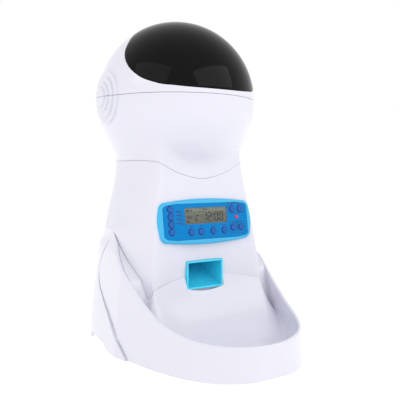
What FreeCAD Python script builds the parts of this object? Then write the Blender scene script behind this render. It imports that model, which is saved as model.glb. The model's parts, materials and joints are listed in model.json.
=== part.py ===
"""Automatic pet feeder: a round hopper head on a flared column, a timer panel on the front,
a sloping chute below it and a winged food tray that slides off forwards.
Millimetres, +Z up, the front faces -Y, origin at the middle of the footprint on the floor."""
import FreeCAD, Part
import math
import os
import re
import Sketcher

os.makedirs("parts", exist_ok=True)
doc = FreeCAD.newDocument("pet_feeder")
sheet = doc.addObject("Spreadsheet::Sheet", "sheet")
V = FreeCAD.Vector

# ---------------------------------------------------------------- driving dimensions
SIZES = dict(
    column_axis=43.4,        # the head and column stand this far behind the middle of the footprint
    wall=2.6, gap=0.4, skirt_foot=2.0,
    head_radius=84.0, head_centre=254.0, lid_gap=0.4, rim_depth=2.0, seal_depth=2.7,
    seam_side=190.0, seam_chin=172.0, chin_half=50.0,
    ear_outer=26.0, ear_middle=19.8, ear_inner=13.7, ear_button=9.4, ear_reach=82.2, ear_step=2.3,
    visor_thick=1.2, visor_back=2.0,
    egg_half=92.0, egg_middle=-45.0, egg_front=126.0, egg_back=125.0,
    egg_front_taper=0.33, egg_back_taper=0.08, egg_front_power=5.0, egg_back_power=7.0,
    egg_lean=0.0005, egg_curl=0.0000042, egg_nose_lean=0.0005, wing_top=117.0, tuck_low=95.0, tuck_in=3.0,
    fender_proud=2.4, fender_low=25.0, fender_high=80.0,
    tray_wall=3.4, tray_sheet=2.6, tray_floor=2.6, track_rear=400.0,
    panel_height=129.0, panel_face=58.3, panel_lean=9.0,
    bezel_length=110.0, bezel_height=46.0, bezel_end=40.0, bezel_proud=4.5, bezel_depth=6.0,
    overlay_length=98.6, overlay_height=35.4, overlay_thick=1.6,
    ledge_length=96.0, ledge_height=34.2, ledge_out=2.5,
    glass_length=50.0, glass_height=16.2, glass_up=5.6, glass_thick=1.6,
    module_length=54.0, module_height=20.0, module_thick=3.6, mat_thick=0.9, board_thick=1.6,
    key_radius=3.0, key_clear=0.25, key_length=3.9, key_flange=3.5, flange_thick=0.8, key_rest=1.3,
    led_radius=1.5, led_length=6.3, microphone_radius=2.0,
    chute_half=21.5, chute_wall=1.8, chute_low=61.0, chute_high=89.5, chute_front=59.5,
    rotor_height=131.0, rotor_back=-6.0, drum_radius=29.0, drum_wall=2.2, drum_half=25.0,
    vane_radius=25.8, vane_thick=2.0, vane_half=22.3, hub_radius=7.5, spindle_radius=3.0, running=0.05,
    gear_module=1.0, wheel_teeth=40.0, pinion_teeth=10.0, gear_thick=5.0, gear_start=32.0,
    motor_radius=12.0, motor_length=26.0, motor_start=40.0, plate_thick=2.0, mesh_angle=-55.0,
    spout_radius=18.0, spout_low=157.0, cone_low=166.0, cone_top=186.0, cone_radius=46.0, sheet_thick=2.2,
    ring_low=166.0, ring_top=198.0, ring_thick=2.0,
    cell_radius=16.6, cell_length=58.0, cell_rise=26.4, cell_pitch=34.0, cell_front=8.4, box_wall=1.5,
    door_width=106.0, door_height=38.0, door_clear=0.4,
    plate_low=2.0, floor_thick=2.6, foot_radius=8.0, pad_radius=6.0,
    boss_radius=4.6, boss_top=26.0, screw_head=2.8, head_thick=1.3, screw_shank=1.5, screw_length=11.0,
    jack_size=11.0, jack_length=13.0, jack_bore=3.2, jack_pin=1.0, jack_height=60.0, jack_side=42.0,
    speaker_radius=14.0, speaker_thick=6.0, board_length=72.0, board_width=44.0,
)
for row, (alias, value) in enumerate(SIZES.items(), start=1):
    sheet.set(f"A{row}", alias)
    sheet.set(f"B{row}", str(value))
    sheet.setAlias(f"B{row}", alias)
doc.recompute()
S = {alias: float(sheet.get(alias)) for alias in SIZES}
AXIS = S["column_axis"]

# Column stations: height, half width, reach to the rear, crease half width, crease reach, middle reach of the front.
COLUMN = [
    (2, 76.0, 72.0, 62.0, 67.0, 55.0),
    (75, 76.0, 72.0, 62.5, 67.0, 55.0),
    (92, 76.0, 71.5, 61.0, 65.5, 57.0),
    (108, 76.6, 70.5, 59.0, 63.5, 58.4),
    (120, 77.2, 69.5, 57.2, 61.6, 58.6),
    (135, 73.8, 67.5, 55.2, 59.2, 57.6),
    (150, 70.2, 65.0, 53.2, 57.0, 56.2),
    (168, 66.0, 62.5, 50.4, 54.2, 53.8),
    (182, 64.2, 61.0, 48.4, 52.2, 52.0),
    (204, 63.6, 60.5, 46.0, 50.0, 50.0),
]
SIDE_POWER = 2.4
SIDE_POINTS = 14
FRONT_POINTS = 5
EGG_POINTS = 12
# Side outline of the tray, as (distance in front of the column axis, height): rim, then rear edge down to the floor.
RIM = [(175, 31), (156, 33), (138, 35.5), (118, 40), (98, 47), (77, 59), (57, 73), (42, 85), (28, 96), (8, 117)]
REAR_EDGE = [(-6, 104), (-16, 93), (-22, 82), (-23, 73), (-15, 60), (3, 47), (25, 33), (45, 19), (56, 9), (63, 2)]
SCOOP = [(4, 113), (20, 99), (35, 88), (48, 80), (58, 74), (64, 63), (71, 45), (82, 27), (98, 15.5),
         (120, 12), (150, 12), (200, 12)]
SCREWS = [(77.0, 40.0), (82.5, -5.0)]
VISOR = [(0, 4.4), (24.9, 4.9), (42.5, 6.4), (52.4, 7.7), (59.6, 10.4), (66.1, 14.6), (70.7, 21.7),
         (72.3, 28.9), (71.4, 37.6), (68.6, 45.1), (61.6, 55.9), (51.5, 66.2), (44, 76)]
KEYS = {
    "meal_key_1": (-41.0, 12.8), "meal_key_2": (-41.0, 5.4), "meal_key_3": (-41.0, -2.0), "meal_key_4": (-41.0, -9.4),
    "set_key_1": (-19.0, -10.4), "set_key_2": (-7.6, -10.4), "set_key_3": (6.8, -10.4), "set_key_4": (20.2, -10.4),
    "record_key": (31.6, 11.0), "play_key": (41.0, 11.0), "feed_key": (31.6, -8.0), "enter_key": (41.0, -8.0),
}


# ---------------------------------------------------------------- helpers
def at(x, y, z):
    """A point given from the column's axis, in the model's frame."""
    return V(x, y + AXIS, z)


def piece(label, shape):
    """A sub-part whose shape is set with Part's own functions."""
    obj = doc.addObject("Part::Feature", label)
    obj.Label = label
    obj.Shape = shape
    return obj


def spline(points, closed=False):
    """A smooth curve through points, evenly parametrised so that stacked outlines share their knots."""
    curve = Part.BSplineCurve()
    count = len(points) + (1 if closed else 0)
    curve.interpolate(Points=points, PeriodicFlag=closed, Parameters=[k / (count - 1) for k in range(count)])
    return curve.toShape()


def box(x0, x1, y0, y1, z0, z1):
    return Part.makeBox(x1 - x0, y1 - y0, z1 - z0, at(x0, y0, z0))


def body(label):
    made = doc.addObject("PartDesign::Body", label)
    made.Label = label
    return made


def sketch_on(owner, name, plane="XY_Plane"):
    """A sketch on one of the body's own origin planes."""
    made = owner.newObject("Sketcher::SketchObject", name)
    origin = [f for f in owner.Origin.OriginFeatures if f.Role == plane][0]
    made.AttachmentSupport = (origin, [""])
    made.MapMode = "FlatFace"
    return made


def bound_circle(sketch, radius, x=0.0, y=0.0):
    """A circle whose radius is an expression of the sheet."""
    centre = V(x, y, 0)
    index = sketch.addGeometry(Part.Circle(centre, V(0, 0, 1), 1.0), False)
    number = sketch.addConstraint(Sketcher.Constraint("Radius", index, 1.0))
    sketch.setExpression(f"Constraints[{number}]", radius)
    sketch.addConstraint(Sketcher.Constraint("DistanceX", -1, 1, index, 3, x))
    sketch.addConstraint(Sketcher.Constraint("DistanceY", -1, 1, index, 3, y))


def bound_rectangle(sketch, width, height, x=0.0, y=0.0):
    """A rectangle about (x, y) whose sides are expressions of the sheet."""
    corners = [V(x - 1, y - 1, 0), V(x + 1, y - 1, 0), V(x + 1, y + 1, 0), V(x - 1, y + 1, 0)]
    first = sketch.GeometryCount
    for k in range(4):
        sketch.addGeometry(Part.LineSegment(corners[k], corners[(k + 1) % 4]), False)
    for k in range(4):
        sketch.addConstraint(Sketcher.Constraint("Coincident", first + k, 2, first + (k + 1) % 4, 1))
        sketch.addConstraint(Sketcher.Constraint("Vertical" if k % 2 else "Horizontal", first + k))
    wide = sketch.addConstraint(Sketcher.Constraint("DistanceX", first, 1, first, 2, 2.0))
    high = sketch.addConstraint(Sketcher.Constraint("DistanceY", first + 1, 1, first + 1, 2, 2.0))
    left = sketch.addConstraint(Sketcher.Constraint("DistanceX", -1, 1, first, 1, x - 1))
    low = sketch.addConstraint(Sketcher.Constraint("DistanceY", -1, 1, first, 1, y - 1))
    sketch.setExpression(f"Constraints[{wide}]", width)
    sketch.setExpression(f"Constraints[{high}]", height)
    sketch.setExpression(f"Constraints[{left}]", f"{x} - ({width}) / 2")
    sketch.setExpression(f"Constraints[{low}]", f"{y} - ({height}) / 2")


def pad(owner, sketch, length, name):
    made = owner.newObject("PartDesign::Pad", name)
    made.Profile = sketch
    made.setExpression("Length", length)
    owner.Tip = made
    return made


def pocket(owner, sketch, length, name, reversed_cut):
    """A pocket, checked to take material away."""
    doc.recompute()
    before = owner.Shape.Volume
    made = owner.newObject("PartDesign::Pocket", name)
    made.Profile = sketch
    made.Reversed = reversed_cut
    made.setExpression("Length", length)
    owner.Tip = made
    doc.recompute()
    if owner.Shape.Volume > before - 0.01:
        raise RuntimeError(f"{owner.Label}: {name} cuts nothing")
    return made


def turned(owner, profile, name):
    """A full revolution about Z of a closed (radius, height) outline."""
    sketch = sketch_on(owner, name + "_outline", "XZ_Plane")
    points = [V(r, z, 0) for r, z in profile]
    for k in range(len(points)):
        sketch.addGeometry(Part.LineSegment(points[k], points[(k + 1) % len(points)]), False)
        sketch.addConstraint(Sketcher.Constraint("Block", k))
    made = owner.newObject("PartDesign::Revolution", name)
    made.Profile = sketch
    made.ReferenceAxis = (sketch, ["V_Axis"])
    made.Angle = 360
    owner.Tip = made
    return made


# ---------------------------------------------------------------- shapes of the housings
def column_wire(station, inset=0.0):
    """One level of the column: a hollowed front between two creases, then round the sides and the rear."""
    height, half, rear, crease_x, crease_y, middle = station
    half, rear = half - inset, rear - inset
    crease_x, crease_y, middle = crease_x - inset, crease_y - inset, middle - inset
    fore = crease_y / (1 - (crease_x / half) ** SIDE_POWER) ** (1 / SIDE_POWER)
    start = math.atan2((crease_y / fore) ** (SIDE_POWER / 2), (crease_x / half) ** (SIDE_POWER / 2))
    points = []
    for k in range(SIDE_POINTS + 1):
        turn = -start + k * (math.pi / 2 + start) / SIDE_POINTS
        c, s = math.cos(turn), math.sin(turn)
        x = abs(c) ** (2 / SIDE_POWER) * half
        y = math.copysign(abs(s) ** (2 / SIDE_POWER), s) * (rear if s > 0 else fore)
        points.append((x, y))
    points[-1] = (0.0, rear)
    front = []
    for k in range(1, FRONT_POINTS):
        across = k / FRONT_POINTS
        front.append((crease_x * across, -middle - (crease_y - middle) * across ** 2))
    right = [(0.0, -middle)] + front + points
    left = [(-x, y) for x, y in right[::-1][1:-1]]
    return Part.Wire(spline([at(x, y, height) for x, y in right + left], True))


def column_solid(inset=0.0):
    return Part.makeLoft([column_wire(s, inset) for s in COLUMN], True, True)


def column_track(inset):
    """The room that the column needs as the tray slides off forwards: its sides carried on to the rear."""
    stretched = [station[:2] + (S["track_rear"],) + station[3:] for station in COLUMN]
    return Part.makeLoft([column_wire(s, inset) for s in stretched], True, True)


def fender(height):
    """How far the rear housing stands out past the tray's outline at a height."""
    share = (S["fender_high"] - height) / (S["fender_high"] - S["fender_low"])
    return S["fender_proud"] * min(1.0, max(0.0, share))


def egg_points(height, grow=0.0):
    """The footprint outline at one height: a blunt nose, widest before the column, and a squarer rear."""
    across = 1 - S["egg_lean"] * height - S["egg_curl"] * height ** 2
    along = 1 - S["egg_nose_lean"] * height
    grow -= S["tuck_in"] * (max(0.0, height - S["tuck_low"]) / (S["wing_top"] - S["tuck_low"])) ** 2
    halves = []
    for sign, length, taper, power in ((-1, "egg_front", "egg_front_taper", "egg_front_power"),
                                       (1, "egg_back", "egg_back_taper", "egg_back_power")):
        side = []
        for k in range(EGG_POINTS + 1):
            reach = math.sin((math.pi / 2) * k / EGG_POINTS)
            level = math.sqrt(1 - reach ** S[power])
            side.append(((S["egg_half"] * across + grow) * (1 - S[taper] * reach) * level,
                         S["egg_middle"] * along + sign * (S[length] * along + grow) * reach))
        halves.append(side)
    right = halves[0][::-1] + halves[1][1:]
    left = [(-x, y) for x, y in right[::-1][1:-1]]
    return [at(x, y, height) for x, y in right + left]


def egg_solid(levels, inset=0.0, proud=False):
    wires = [Part.Wire(spline(egg_points(z, (fender(z) if proud else 0.0) - inset), True)) for z in levels]
    return Part.makeLoft(wires, True, True)


def chin_cutter(lift):
    """Everything above the neck seam moved up by lift: level at the sides and rear, dipping at the chin."""
    side, chin, half = S["seam_side"] + lift, S["seam_chin"] + lift, S["chin_half"]
    rise = side - chin
    dip = [(-half - 10, side), (-half, side - 1.4), (-half * 0.62, side - rise * 0.6), (0, chin),
           (half * 0.62, side - rise * 0.6), (half, side - 1.4), (half + 10, side)]
    low = [at(x, -120, z) for x, z in dip]
    around = [low[-1], at(130, -120, side), at(130, -120, 340), at(-130, -120, 340), at(-130, -120, side), low[0]]
    fore = Part.Face(Part.Wire([spline(low)] + Part.makePolygon(around).Edges)).extrude(V(0, 120, 0))
    return fore.fuse(box(-130, 130, 0, 120, side, 340))


def sphere(radius):
    return Part.makeSphere(radius, at(0, 0, S["head_centre"]))


def ear(side):
    """Stepped rings about the side axis of the head, each a short cylinder."""
    centre = at(side * 60, 0, S["head_centre"])
    discs = [Part.makeCylinder(S[radius], S["ear_reach"] + S["ear_step"] * step - 60, centre, V(side, 0, 0))
             for step, radius in enumerate(("ear_outer", "ear_middle", "ear_inner", "ear_button"))]
    return discs[0].fuse(discs[1:])


def side_face(forward_height, corners):
    """A smooth side outline closed by straight corners and carried across the whole width."""
    curve = [at(-130, -f, z) for f, z in forward_height]
    straight = [curve[-1]] + [at(-130, -f, z) for f, z in corners] + [curve[0]]
    return Part.Face(Part.Wire([spline(curve)] + Part.makePolygon(straight).Edges)).extrude(V(260, 0, 0))


def behind_tray(offset):
    """Everything behind the tray's rear edge moved back by offset."""
    edge = [(8 - offset, S["wing_top"] + 0.5)] + [(f - offset, z) for f, z in REAR_EDGE]
    return side_face(edge, [(63 - offset, -10), (-130, -10), (-130, S["wing_top"] + 0.5)])


# ---------------------------------------------------------------- housings
LEVELS = [S["skirt_foot"], S["fender_low"], 50.0, S["fender_high"], S["tuck_low"], 107.0, S["wing_top"]]
column_out = column_solid()
column_in = column_solid(S["wall"])
rear_out = egg_solid(LEVELS, 0.0, True).common(behind_tray(S["gap"]))
inner_levels = LEVELS[:-1] + [S["wing_top"] - S["wall"]]
rear_in = egg_solid(inner_levels, S["wall"]).common(behind_tray(S["gap"] + S["wall"]))
rear_in = rear_in.common(box(-130, 130, -130, 130, -10, S["wing_top"] - S["wall"]))

panel_turn = FreeCAD.Rotation(V(1, 0, 0), 90 - S["panel_lean"])
panel_place = FreeCAD.Placement(at(0, -S["panel_face"], S["panel_height"]), panel_turn)


def bezel_prism(shrink, low, high):
    """The barrel-sided outline of the panel frame: long sides bow outwards, corners are round."""
    a, e, m = S["bezel_length"] / 2 - shrink - 1.6, S["bezel_end"] / 2 - shrink, S["bezel_height"] / 2 - shrink
    r = 8.0 - shrink * 0.5
    k = r * (1 - math.sqrt(0.5))
    stops = [(-a + r, -e), (0, -m), (a - r, -e), (a - k, -e + k), (a, -e + r), (a + 1.6, 0), (a, e - r),
             (a - k, e - k), (a - r, e), (0, m), (-a + r, e), (-a + k, e - k), (-a, e - r), (-a - 1.6, 0),
             (-a, -e + r), (-a + k, -e + k)]
    ring = [V(x, y, low) for x, y in stops]
    edges = [Part.Arc(ring[n], ring[n + 1], ring[(n + 2) % 16]).toShape() for n in range(0, 16, 2)]
    solid = Part.Face(Part.Wire(edges)).extrude(V(0, 0, high - low))
    return solid.transformed(panel_place.toMatrix())


door_low, door_high = S["cell_rise"] - S["door_height"] / 2, S["cell_rise"] + S["door_height"] / 2
half, slack = S["door_width"] / 2, S["door_clear"]
battery_hole = box(-half - slack, half + slack, 55, 100, door_low - slack, door_high + slack)
side, tall, size = S["jack_side"], S["jack_height"], S["jack_size"] / 2 + 0.15
jack_hole = box(side - size, side + size, 55, 100, tall - size, tall + size)
chute_hole = box(-S["chute_half"] - 0.2, S["chute_half"] + 0.2, -80, -45, S["chute_low"] - 0.2, S["chute_high"] + 0.2)
bosses = [Part.makeCylinder(S["boss_radius"], S["boss_top"] - S["plate_low"] - S["floor_thick"],
                            at(x * s, y, S["plate_low"] + S["floor_thick"])) for x, y in SCREWS for s in (-1, 1)]
bores = [Part.makeCylinder(S["screw_shank"] + 0.1, 20, at(x * s, y, 0)) for x, y in SCREWS for s in (-1, 1)]

shell = column_out.fuse(rear_out).cut(column_in).cut(rear_in)
shell = shell.fuse([b.common(rear_out) for b in bosses]).cut(bores)
shell = shell.cut(chin_cutter(0.0)).cut([bezel_prism(-0.2, -20, 20), chute_hole, battery_hole, jack_hole])
piece("body_shell", shell)

door = rear_out.cut(egg_solid(inner_levels, S["wall"]))
piece("battery_door", door.common(box(-half, half, 40, 100, door_low, door_high)))

plate_levels = [S["plate_low"], S["plate_low"] + S["floor_thick"]]
plate = egg_solid(plate_levels, S["wall"] + 0.2).common(behind_tray(S["gap"] + S["wall"] + 0.2))
plate = plate.fuse(column_solid(S["wall"] + 0.2)).common(box(-130, 130, -130, 130, *plate_levels))
heads = [Part.makeCylinder(S["screw_head"] + 0.2, S["head_thick"] + 0.1, at(x * s, y, S["plate_low"]))
         for x, y in SCREWS for s in (-1, 1)]
piece("base_plate", plate.cut(bores).cut(heads))

neck = column_out.common(chin_cutter(0.3))
ears = ear(-1).fuse(ear(1))
hollow = sphere(S["head_radius"] - S["wall"])
seam = S["head_centre"]
lower = sphere(S["head_radius"]).fuse([neck, ears]).common(chin_cutter(0.3))
lower = lower.common(box(-130, 130, -130, 130, 100, seam - S["lid_gap"] / 2)).cut(hollow).cut(column_in)
piece("head_housing", lower)

ring = column_in.cut(column_solid(S["wall"] + S["ring_thick"]))
ring = ring.common(box(-130, 130, -130, 130, S["ring_low"], S["ring_top"]))
piece("neck_ring", ring.cut(bezel_prism(-0.2, -20, 20)))

base_of_lid = seam + S["lid_gap"] / 2
rim = Part.makeCylinder(S["head_radius"] - 1.0, S["rim_depth"], at(0, 0, base_of_lid))
rim = rim.cut(Part.makeCylinder(S["head_radius"] - 8.0, 10, at(0, 0, seam - 2)))
upper = sphere(S["head_radius"]).fuse(ears).common(box(-130, 130, -130, 130, base_of_lid, 350)).cut(hollow).fuse(rim)
outline = [at(x, -120, seam + z) for x, z in [(-x, z) for x, z in VISOR[:0:-1]] + VISOR]
top = Part.makePolygon([outline[-1], at(44, -120, 345), at(-44, -120, 345), outline[0]])
wedge = Part.Face(Part.Wire([spline(outline)] + top.Edges)).extrude(V(0, 120 - S["visor_back"], 0))
under = sphere(S["head_radius"] - S["visor_thick"])
piece("lid_shell", upper.cut(wedge.common(sphere(S["head_radius"] + 2)).cut(under)))
piece("lid_visor", wedge.common(sphere(S["head_radius"])).cut(under))

tray_top = side_face(RIM[::-1], [(200, 31), (200, -10), (-130, -10), (-130, S["wing_top"])])
edge_behind = behind_tray(0.0)
tray_levels = [S["skirt_foot"], 40.0, 80.0, S["tuck_low"], 107.0, S["wing_top"]]
tray = egg_solid(tray_levels).common(tray_top).cut(edge_behind).cut(column_track(-S["gap"]))
fence = column_track(-S["gap"] - S["tray_sheet"])
scoop = side_face(SCOOP, [(200, 130), (4, 130)])
bowl = egg_solid(tray_levels[:-1] + [S["wing_top"] + 1], S["tray_wall"]).common(scoop).cut(fence)
below_scoop = side_face([(f, z - S["tray_floor"] * 1.3) for f, z in SCOOP],
                        [(200, -12), (-130, -12), (-130, 108)])
under_tray = egg_solid([S["skirt_foot"], 40.0, 80.0, 100.0], S["tray_wall"]).common(below_scoop)
under_tray = under_tray.cut(behind_tray(-S["tray_wall"])).cut(fence)
notch = box(-S["chute_half"] - 0.4, S["chute_half"] + 0.4, -80, -40, S["chute_low"] - 0.4, 130)
tray = tray.cut(bowl).cut(under_tray).cut(notch)
piece("bowl_tray", max(tray.Solids, key=lambda part: part.Volume))

# ---------------------------------------------------------------- hopper, rotor housing and chute
drum_y, drum_z = S["rotor_back"], S["rotor_height"]
thin = S["sheet_thick"]
tall = S["cone_top"] - S["cone_low"]
cone = Part.makeCone(S["spout_radius"], S["cone_radius"] + thin, tall, at(0, drum_y, S["cone_low"]))
cone_in = Part.makeCone(S["spout_radius"] - thin, S["cone_radius"], tall, at(0, drum_y, S["cone_low"]))
spout = Part.makeCylinder(S["spout_radius"], S["cone_low"] - S["spout_low"], at(0, drum_y, S["spout_low"]))
spout_in = Part.makeCylinder(S["spout_radius"] - thin, 40, at(0, drum_y, S["spout_low"] - 20))
flange = column_solid(S["wall"] + S["ring_thick"])
flange = flange.common(box(-130, 130, -130, 130, S["cone_top"] - thin, S["cone_top"]))
lip = column_solid(S["wall"] + S["ring_thick"]).common(cone.fuse(spout))
piece("hopper_funnel", flange.fuse(lip).cut([cone_in, spout_in]))


def lying(radius, x0, x1, y=drum_y, z=drum_z):
    """A cylinder along X."""
    return Part.makeCylinder(radius, x1 - x0, at(x0, y, z), V(1, 0, 0))


drum = lying(S["drum_radius"], -S["drum_half"], S["drum_half"])
collar = Part.makeCylinder(S["spout_radius"] + 0.2 + thin, 14, at(0, drum_y, 149))
outlet = box(-18, 18, drum_y - 11, drum_y + 11, 100, 115)
inside = lying(S["drum_radius"] - S["drum_wall"], -S["drum_half"] + S["drum_wall"], S["drum_half"] - S["drum_wall"])
drops = [inside, Part.makeCylinder(S["spout_radius"] + 0.2, 30, at(0, drum_y, 140)),
         box(-16.2, 16.2, drum_y - 9.2, drum_y + 9.2, 90, 120), lying(S["spindle_radius"] + S["running"], -40, 40)]
piece("rotor_housing", drum.fuse([collar, outlet]).cut(drops))

wide, skin = S["chute_half"], S["chute_wall"]
mouth_low, mouth_high, front = S["chute_low"], S["chute_high"], S["chute_front"]
outer = [(front, mouth_low), (front, mouth_high), (54, mouth_high), (20, 101), (20, 106), (-8, 106), (-8, 91),
         (54, mouth_low)]
inner = [(front + 5, mouth_low + skin), (front + 5, mouth_high - skin), (54, mouth_high - skin),
         (20 - skin, 100), (20 - skin, 120), (-8 + skin, 120), (-8 + skin, 92.5), (54, mouth_low + skin)]


def duct(points, half_width):
    flat = [at(-half_width, -f, z) for f, z in points]
    return Part.Face(Part.makePolygon(flat + flat[:1])).extrude(V(2 * half_width, 0, 0))


beam = lying(2.05, 10, 40, -50, 83)
drum_clear = lying(S["drum_radius"] + 0.3, -60, 60)
piece("food_chute", duct(outer, wide).cut(duct(inner, wide - skin)).cut([drum_clear, beam]))


# ---------------------------------------------------------------- parts made of bound primitives
def bind(obj, **sizes):
    """Set each size to an expression of the sheet's aliases."""
    for name, words in sizes.items():
        obj.setExpression(name, re.sub(r"[a-z]+_[a-z]+|wall|gap|running", lambda m: "sheet." + m.group(0), words))
    return obj


def rod(name, radius, length, base, axis=(0, 0, 1), turn=None):
    made = bind(doc.addObject("Part::Cylinder", name), Radius=radius, Height=length)
    made.Placement = FreeCAD.Placement(base, turn or FreeCAD.Rotation(V(0, 0, 1), V(*axis)))
    return made


def slab(name, length, width, height, corner, turn=None):
    made = bind(doc.addObject("Part::Box", name), Length=length, Width=width, Height=height)
    made.Placement = FreeCAD.Placement(corner, turn or FreeCAD.Rotation())
    return made


def joined(name, shapes):
    made = doc.addObject("Part::MultiFuse", name)
    made.Shapes = shapes
    made.Label = name
    return made


def cut(name, base, tools):
    made = doc.addObject("Part::Cut", name)
    made.Base = base
    made.Tool = tools[0] if len(tools) == 1 else joined(name + "_tools", tools)
    made.Label = name
    return made


def group(name, shapes):
    """Several separate solids kept as one node."""
    made = doc.addObject("Part::Compound", name)
    made.Links = shapes
    made.Label = name
    return made


def panel_rod(name, radius, length, u, v, n):
    return rod(name, radius, length, panel_place.multVec(V(u, v, n)), turn=panel_turn)


def panel_slab(name, length, height, thick, n, u=0.0, v=0.0):
    corner = V(u - S[length] / 2, v - S[height] / 2, n)
    return slab(name, length, height, thick, panel_place.multVec(corner), panel_turn)


ledge = S["ledge_out"]
frame_blank = bezel_prism(0.0, -S["bezel_depth"], S["bezel_proud"])
frame_blank = piece("bezel_blank", frame_blank)
seat = panel_slab("bezel_seat", "overlay_length", "overlay_height", "overlay_thick", ledge)
bind(seat, Length="overlay_length + 0.4", Width="overlay_height + 0.4", Height="4")
seat.Placement = FreeCAD.Placement(
    panel_place.multVec(V(-S["overlay_length"] / 2 - 0.2, -S["overlay_height"] / 2 - 0.2, ledge)), panel_turn)
through = panel_slab("bezel_through", "ledge_length", "ledge_height", "bezel_depth", -S["bezel_depth"] - 2)
bind(through, Height="20")
cut("panel_bezel", frame_blank, [seat, through])

holes = [panel_rod(f"{name}_hole", "key_radius + key_clear", "8", u, v, 0) for name, (u, v) in KEYS.items()]
window = panel_slab("window", "glass_length", "glass_height", "glass_thick", 0, 0, S["glass_up"])
bind(window, Length="glass_length + 0.2", Width="glass_height + 0.2", Height="8")
led_at, ear_at = (36.3, 2.6), (36.3, -2.6)
led_hole = panel_rod("led_hole", "led_radius + 0.1", "12", *led_at, -4)
sound_hole = panel_rod("sound_hole", "0.7", "12", *ear_at, -1)
cut("panel_overlay", panel_slab("overlay_blank", "overlay_length", "overlay_height", "overlay_thick", ledge),
    holes + [window, led_hole, sound_hole])
for name, (u, v) in KEYS.items():
    cap = panel_rod(f"{name}_cap", "key_radius", "key_length", u, v, S["key_rest"])
    joined(name, [cap, panel_rod(f"{name}_flange", "key_flange", "flange_thick", u, v, S["key_rest"])])
panel_slab("lcd_lens", "glass_length", "glass_height", "glass_thick", ledge - 0.1, 0, S["glass_up"])
panel_slab("lcd_module", "module_length", "module_height", "module_thick", -1.2, 0, 5.2)
module_gap = panel_slab("module_gap", "module_length", "module_height", "module_thick", -1.5, 0, 5.2)
mat = panel_slab("mat_blank", "ledge_length", "ledge_height", "mat_thick", -0.5)
mat_holes = [panel_rod("mat_led_hole", "led_radius + 0.3", "6", *led_at, -3),
             panel_rod("mat_sound_hole", "microphone_radius + 0.3", "6", *ear_at, -3)]
cut("keypad_mat", mat, [module_gap] + mat_holes)
panel_slab("panel_board", "ledge_length", "ledge_height", "board_thick", -2.8)
panel_rod("status_led", "led_radius", "led_length", *led_at, -1.2)
panel_rod("microphone", "microphone_radius", "mat_thick + 0.8", *ear_at, -1.2)

rod("infrared_sensor", "2", "5", at(19.9, -50, 83), (1, 0, 0))

hub = rod("hub", "hub_radius", "2 * vane_half", at(-S["vane_half"], drum_y, drum_z), (1, 0, 0))
vanes = [slab("vane_across", "2 * vane_half", "2 * vane_radius", "vane_thick",
              at(-S["vane_half"], drum_y - S["vane_radius"], drum_z - S["vane_thick"] / 2)),
         slab("vane_upright", "2 * vane_half", "vane_thick", "2 * vane_radius",
              at(-S["vane_half"], drum_y - S["vane_thick"] / 2, drum_z - S["vane_radius"]))]
bore = rod("hub_bore", "spindle_radius", "80", at(-40, drum_y, drum_z), (1, 0, 0))
cut("rotor", joined("rotor_blank", [hub] + vanes), [bore])
rod("rotor_shaft", "spindle_radius", "gear_start + gear_thick + 28", at(-27, drum_y, drum_z), (1, 0, 0))


def gear(label, teeth, bore_radius, x, y, z, turn):
    """A spur gear about X with straight-flanked teeth, thinned for backlash."""
    pitch = S["gear_module"] * teeth / 2
    radii = (pitch - 1.25 * S["gear_module"], pitch, pitch + 0.95 * S["gear_module"])
    step = 2 * math.pi / teeth
    points = []
    for k in range(int(teeth)):
        for radius, share in ((radii[0], -0.34), (radii[1], -0.225), (radii[2], -0.11), (radii[2], 0.11),
                              (radii[1], 0.225), (radii[0], 0.34)):
            angle = turn + (k + share) * step
            points.append(at(x, y + radius * math.cos(angle), z + radius * math.sin(angle)))
    blank = Part.Face(Part.makePolygon(points + points[:1])).extrude(V(S["gear_thick"], 0, 0))
    return piece(label, blank.cut(lying(bore_radius, x - 5, x + 15, y, z)))


mesh = math.radians(S["mesh_angle"])
apart = S["gear_module"] * (S["wheel_teeth"] + S["pinion_teeth"]) / 2 + 0.1
pin_y, pin_z = drum_y + apart * math.cos(mesh), drum_z + apart * math.sin(mesh)
gear("rotor_gear", S["wheel_teeth"], S["spindle_radius"], S["gear_start"], drum_y, drum_z, mesh)
gear("drive_pinion", S["pinion_teeth"], S["screw_shank"], S["gear_start"], pin_y, pin_z,
     mesh + math.pi + math.pi / S["pinion_teeth"])
rod("motor_shaft", "screw_shank", "motor_start - gear_start + 5", at(S["gear_start"] - 1, pin_y, pin_z), (1, 0, 0))
can = rod("motor_can", "motor_radius", "motor_length", at(S["motor_start"], pin_y, pin_z), (1, 0, 0))
motor_bore = rod("motor_bore", "screw_shank + running", "6", at(S["motor_start"] - 1, pin_y, pin_z), (1, 0, 0))
cut("drive_motor", can, [motor_bore])
plate_x = S["motor_start"] - S["plate_thick"]
discs = [rod("bracket_disc", "drum_radius - 1", "plate_thick", at(plate_x, drum_y, drum_z), (1, 0, 0)),
         rod("bracket_lobe", "motor_radius + 1", "plate_thick", at(plate_x, pin_y, pin_z), (1, 0, 0))]
posts = []
for number, degrees in enumerate((40, 150, 235)):
    turn = math.radians(degrees)
    posts.append(rod(f"bracket_post_{number}", "2", "motor_start - plate_thick - drum_half",
                     at(S["drum_half"], drum_y + 24.8 * math.cos(turn), drum_z + 24.8 * math.sin(turn)), (1, 0, 0)))
openings = [rod("bracket_eye", "4", "6", at(plate_x - 2, pin_y, pin_z), (1, 0, 0)),
            rod("bracket_middle", "8", "6", at(plate_x - 2, drum_y, drum_z), (1, 0, 0))]
cut("motor_bracket", joined("bracket_blank", discs + posts), openings)

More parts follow.
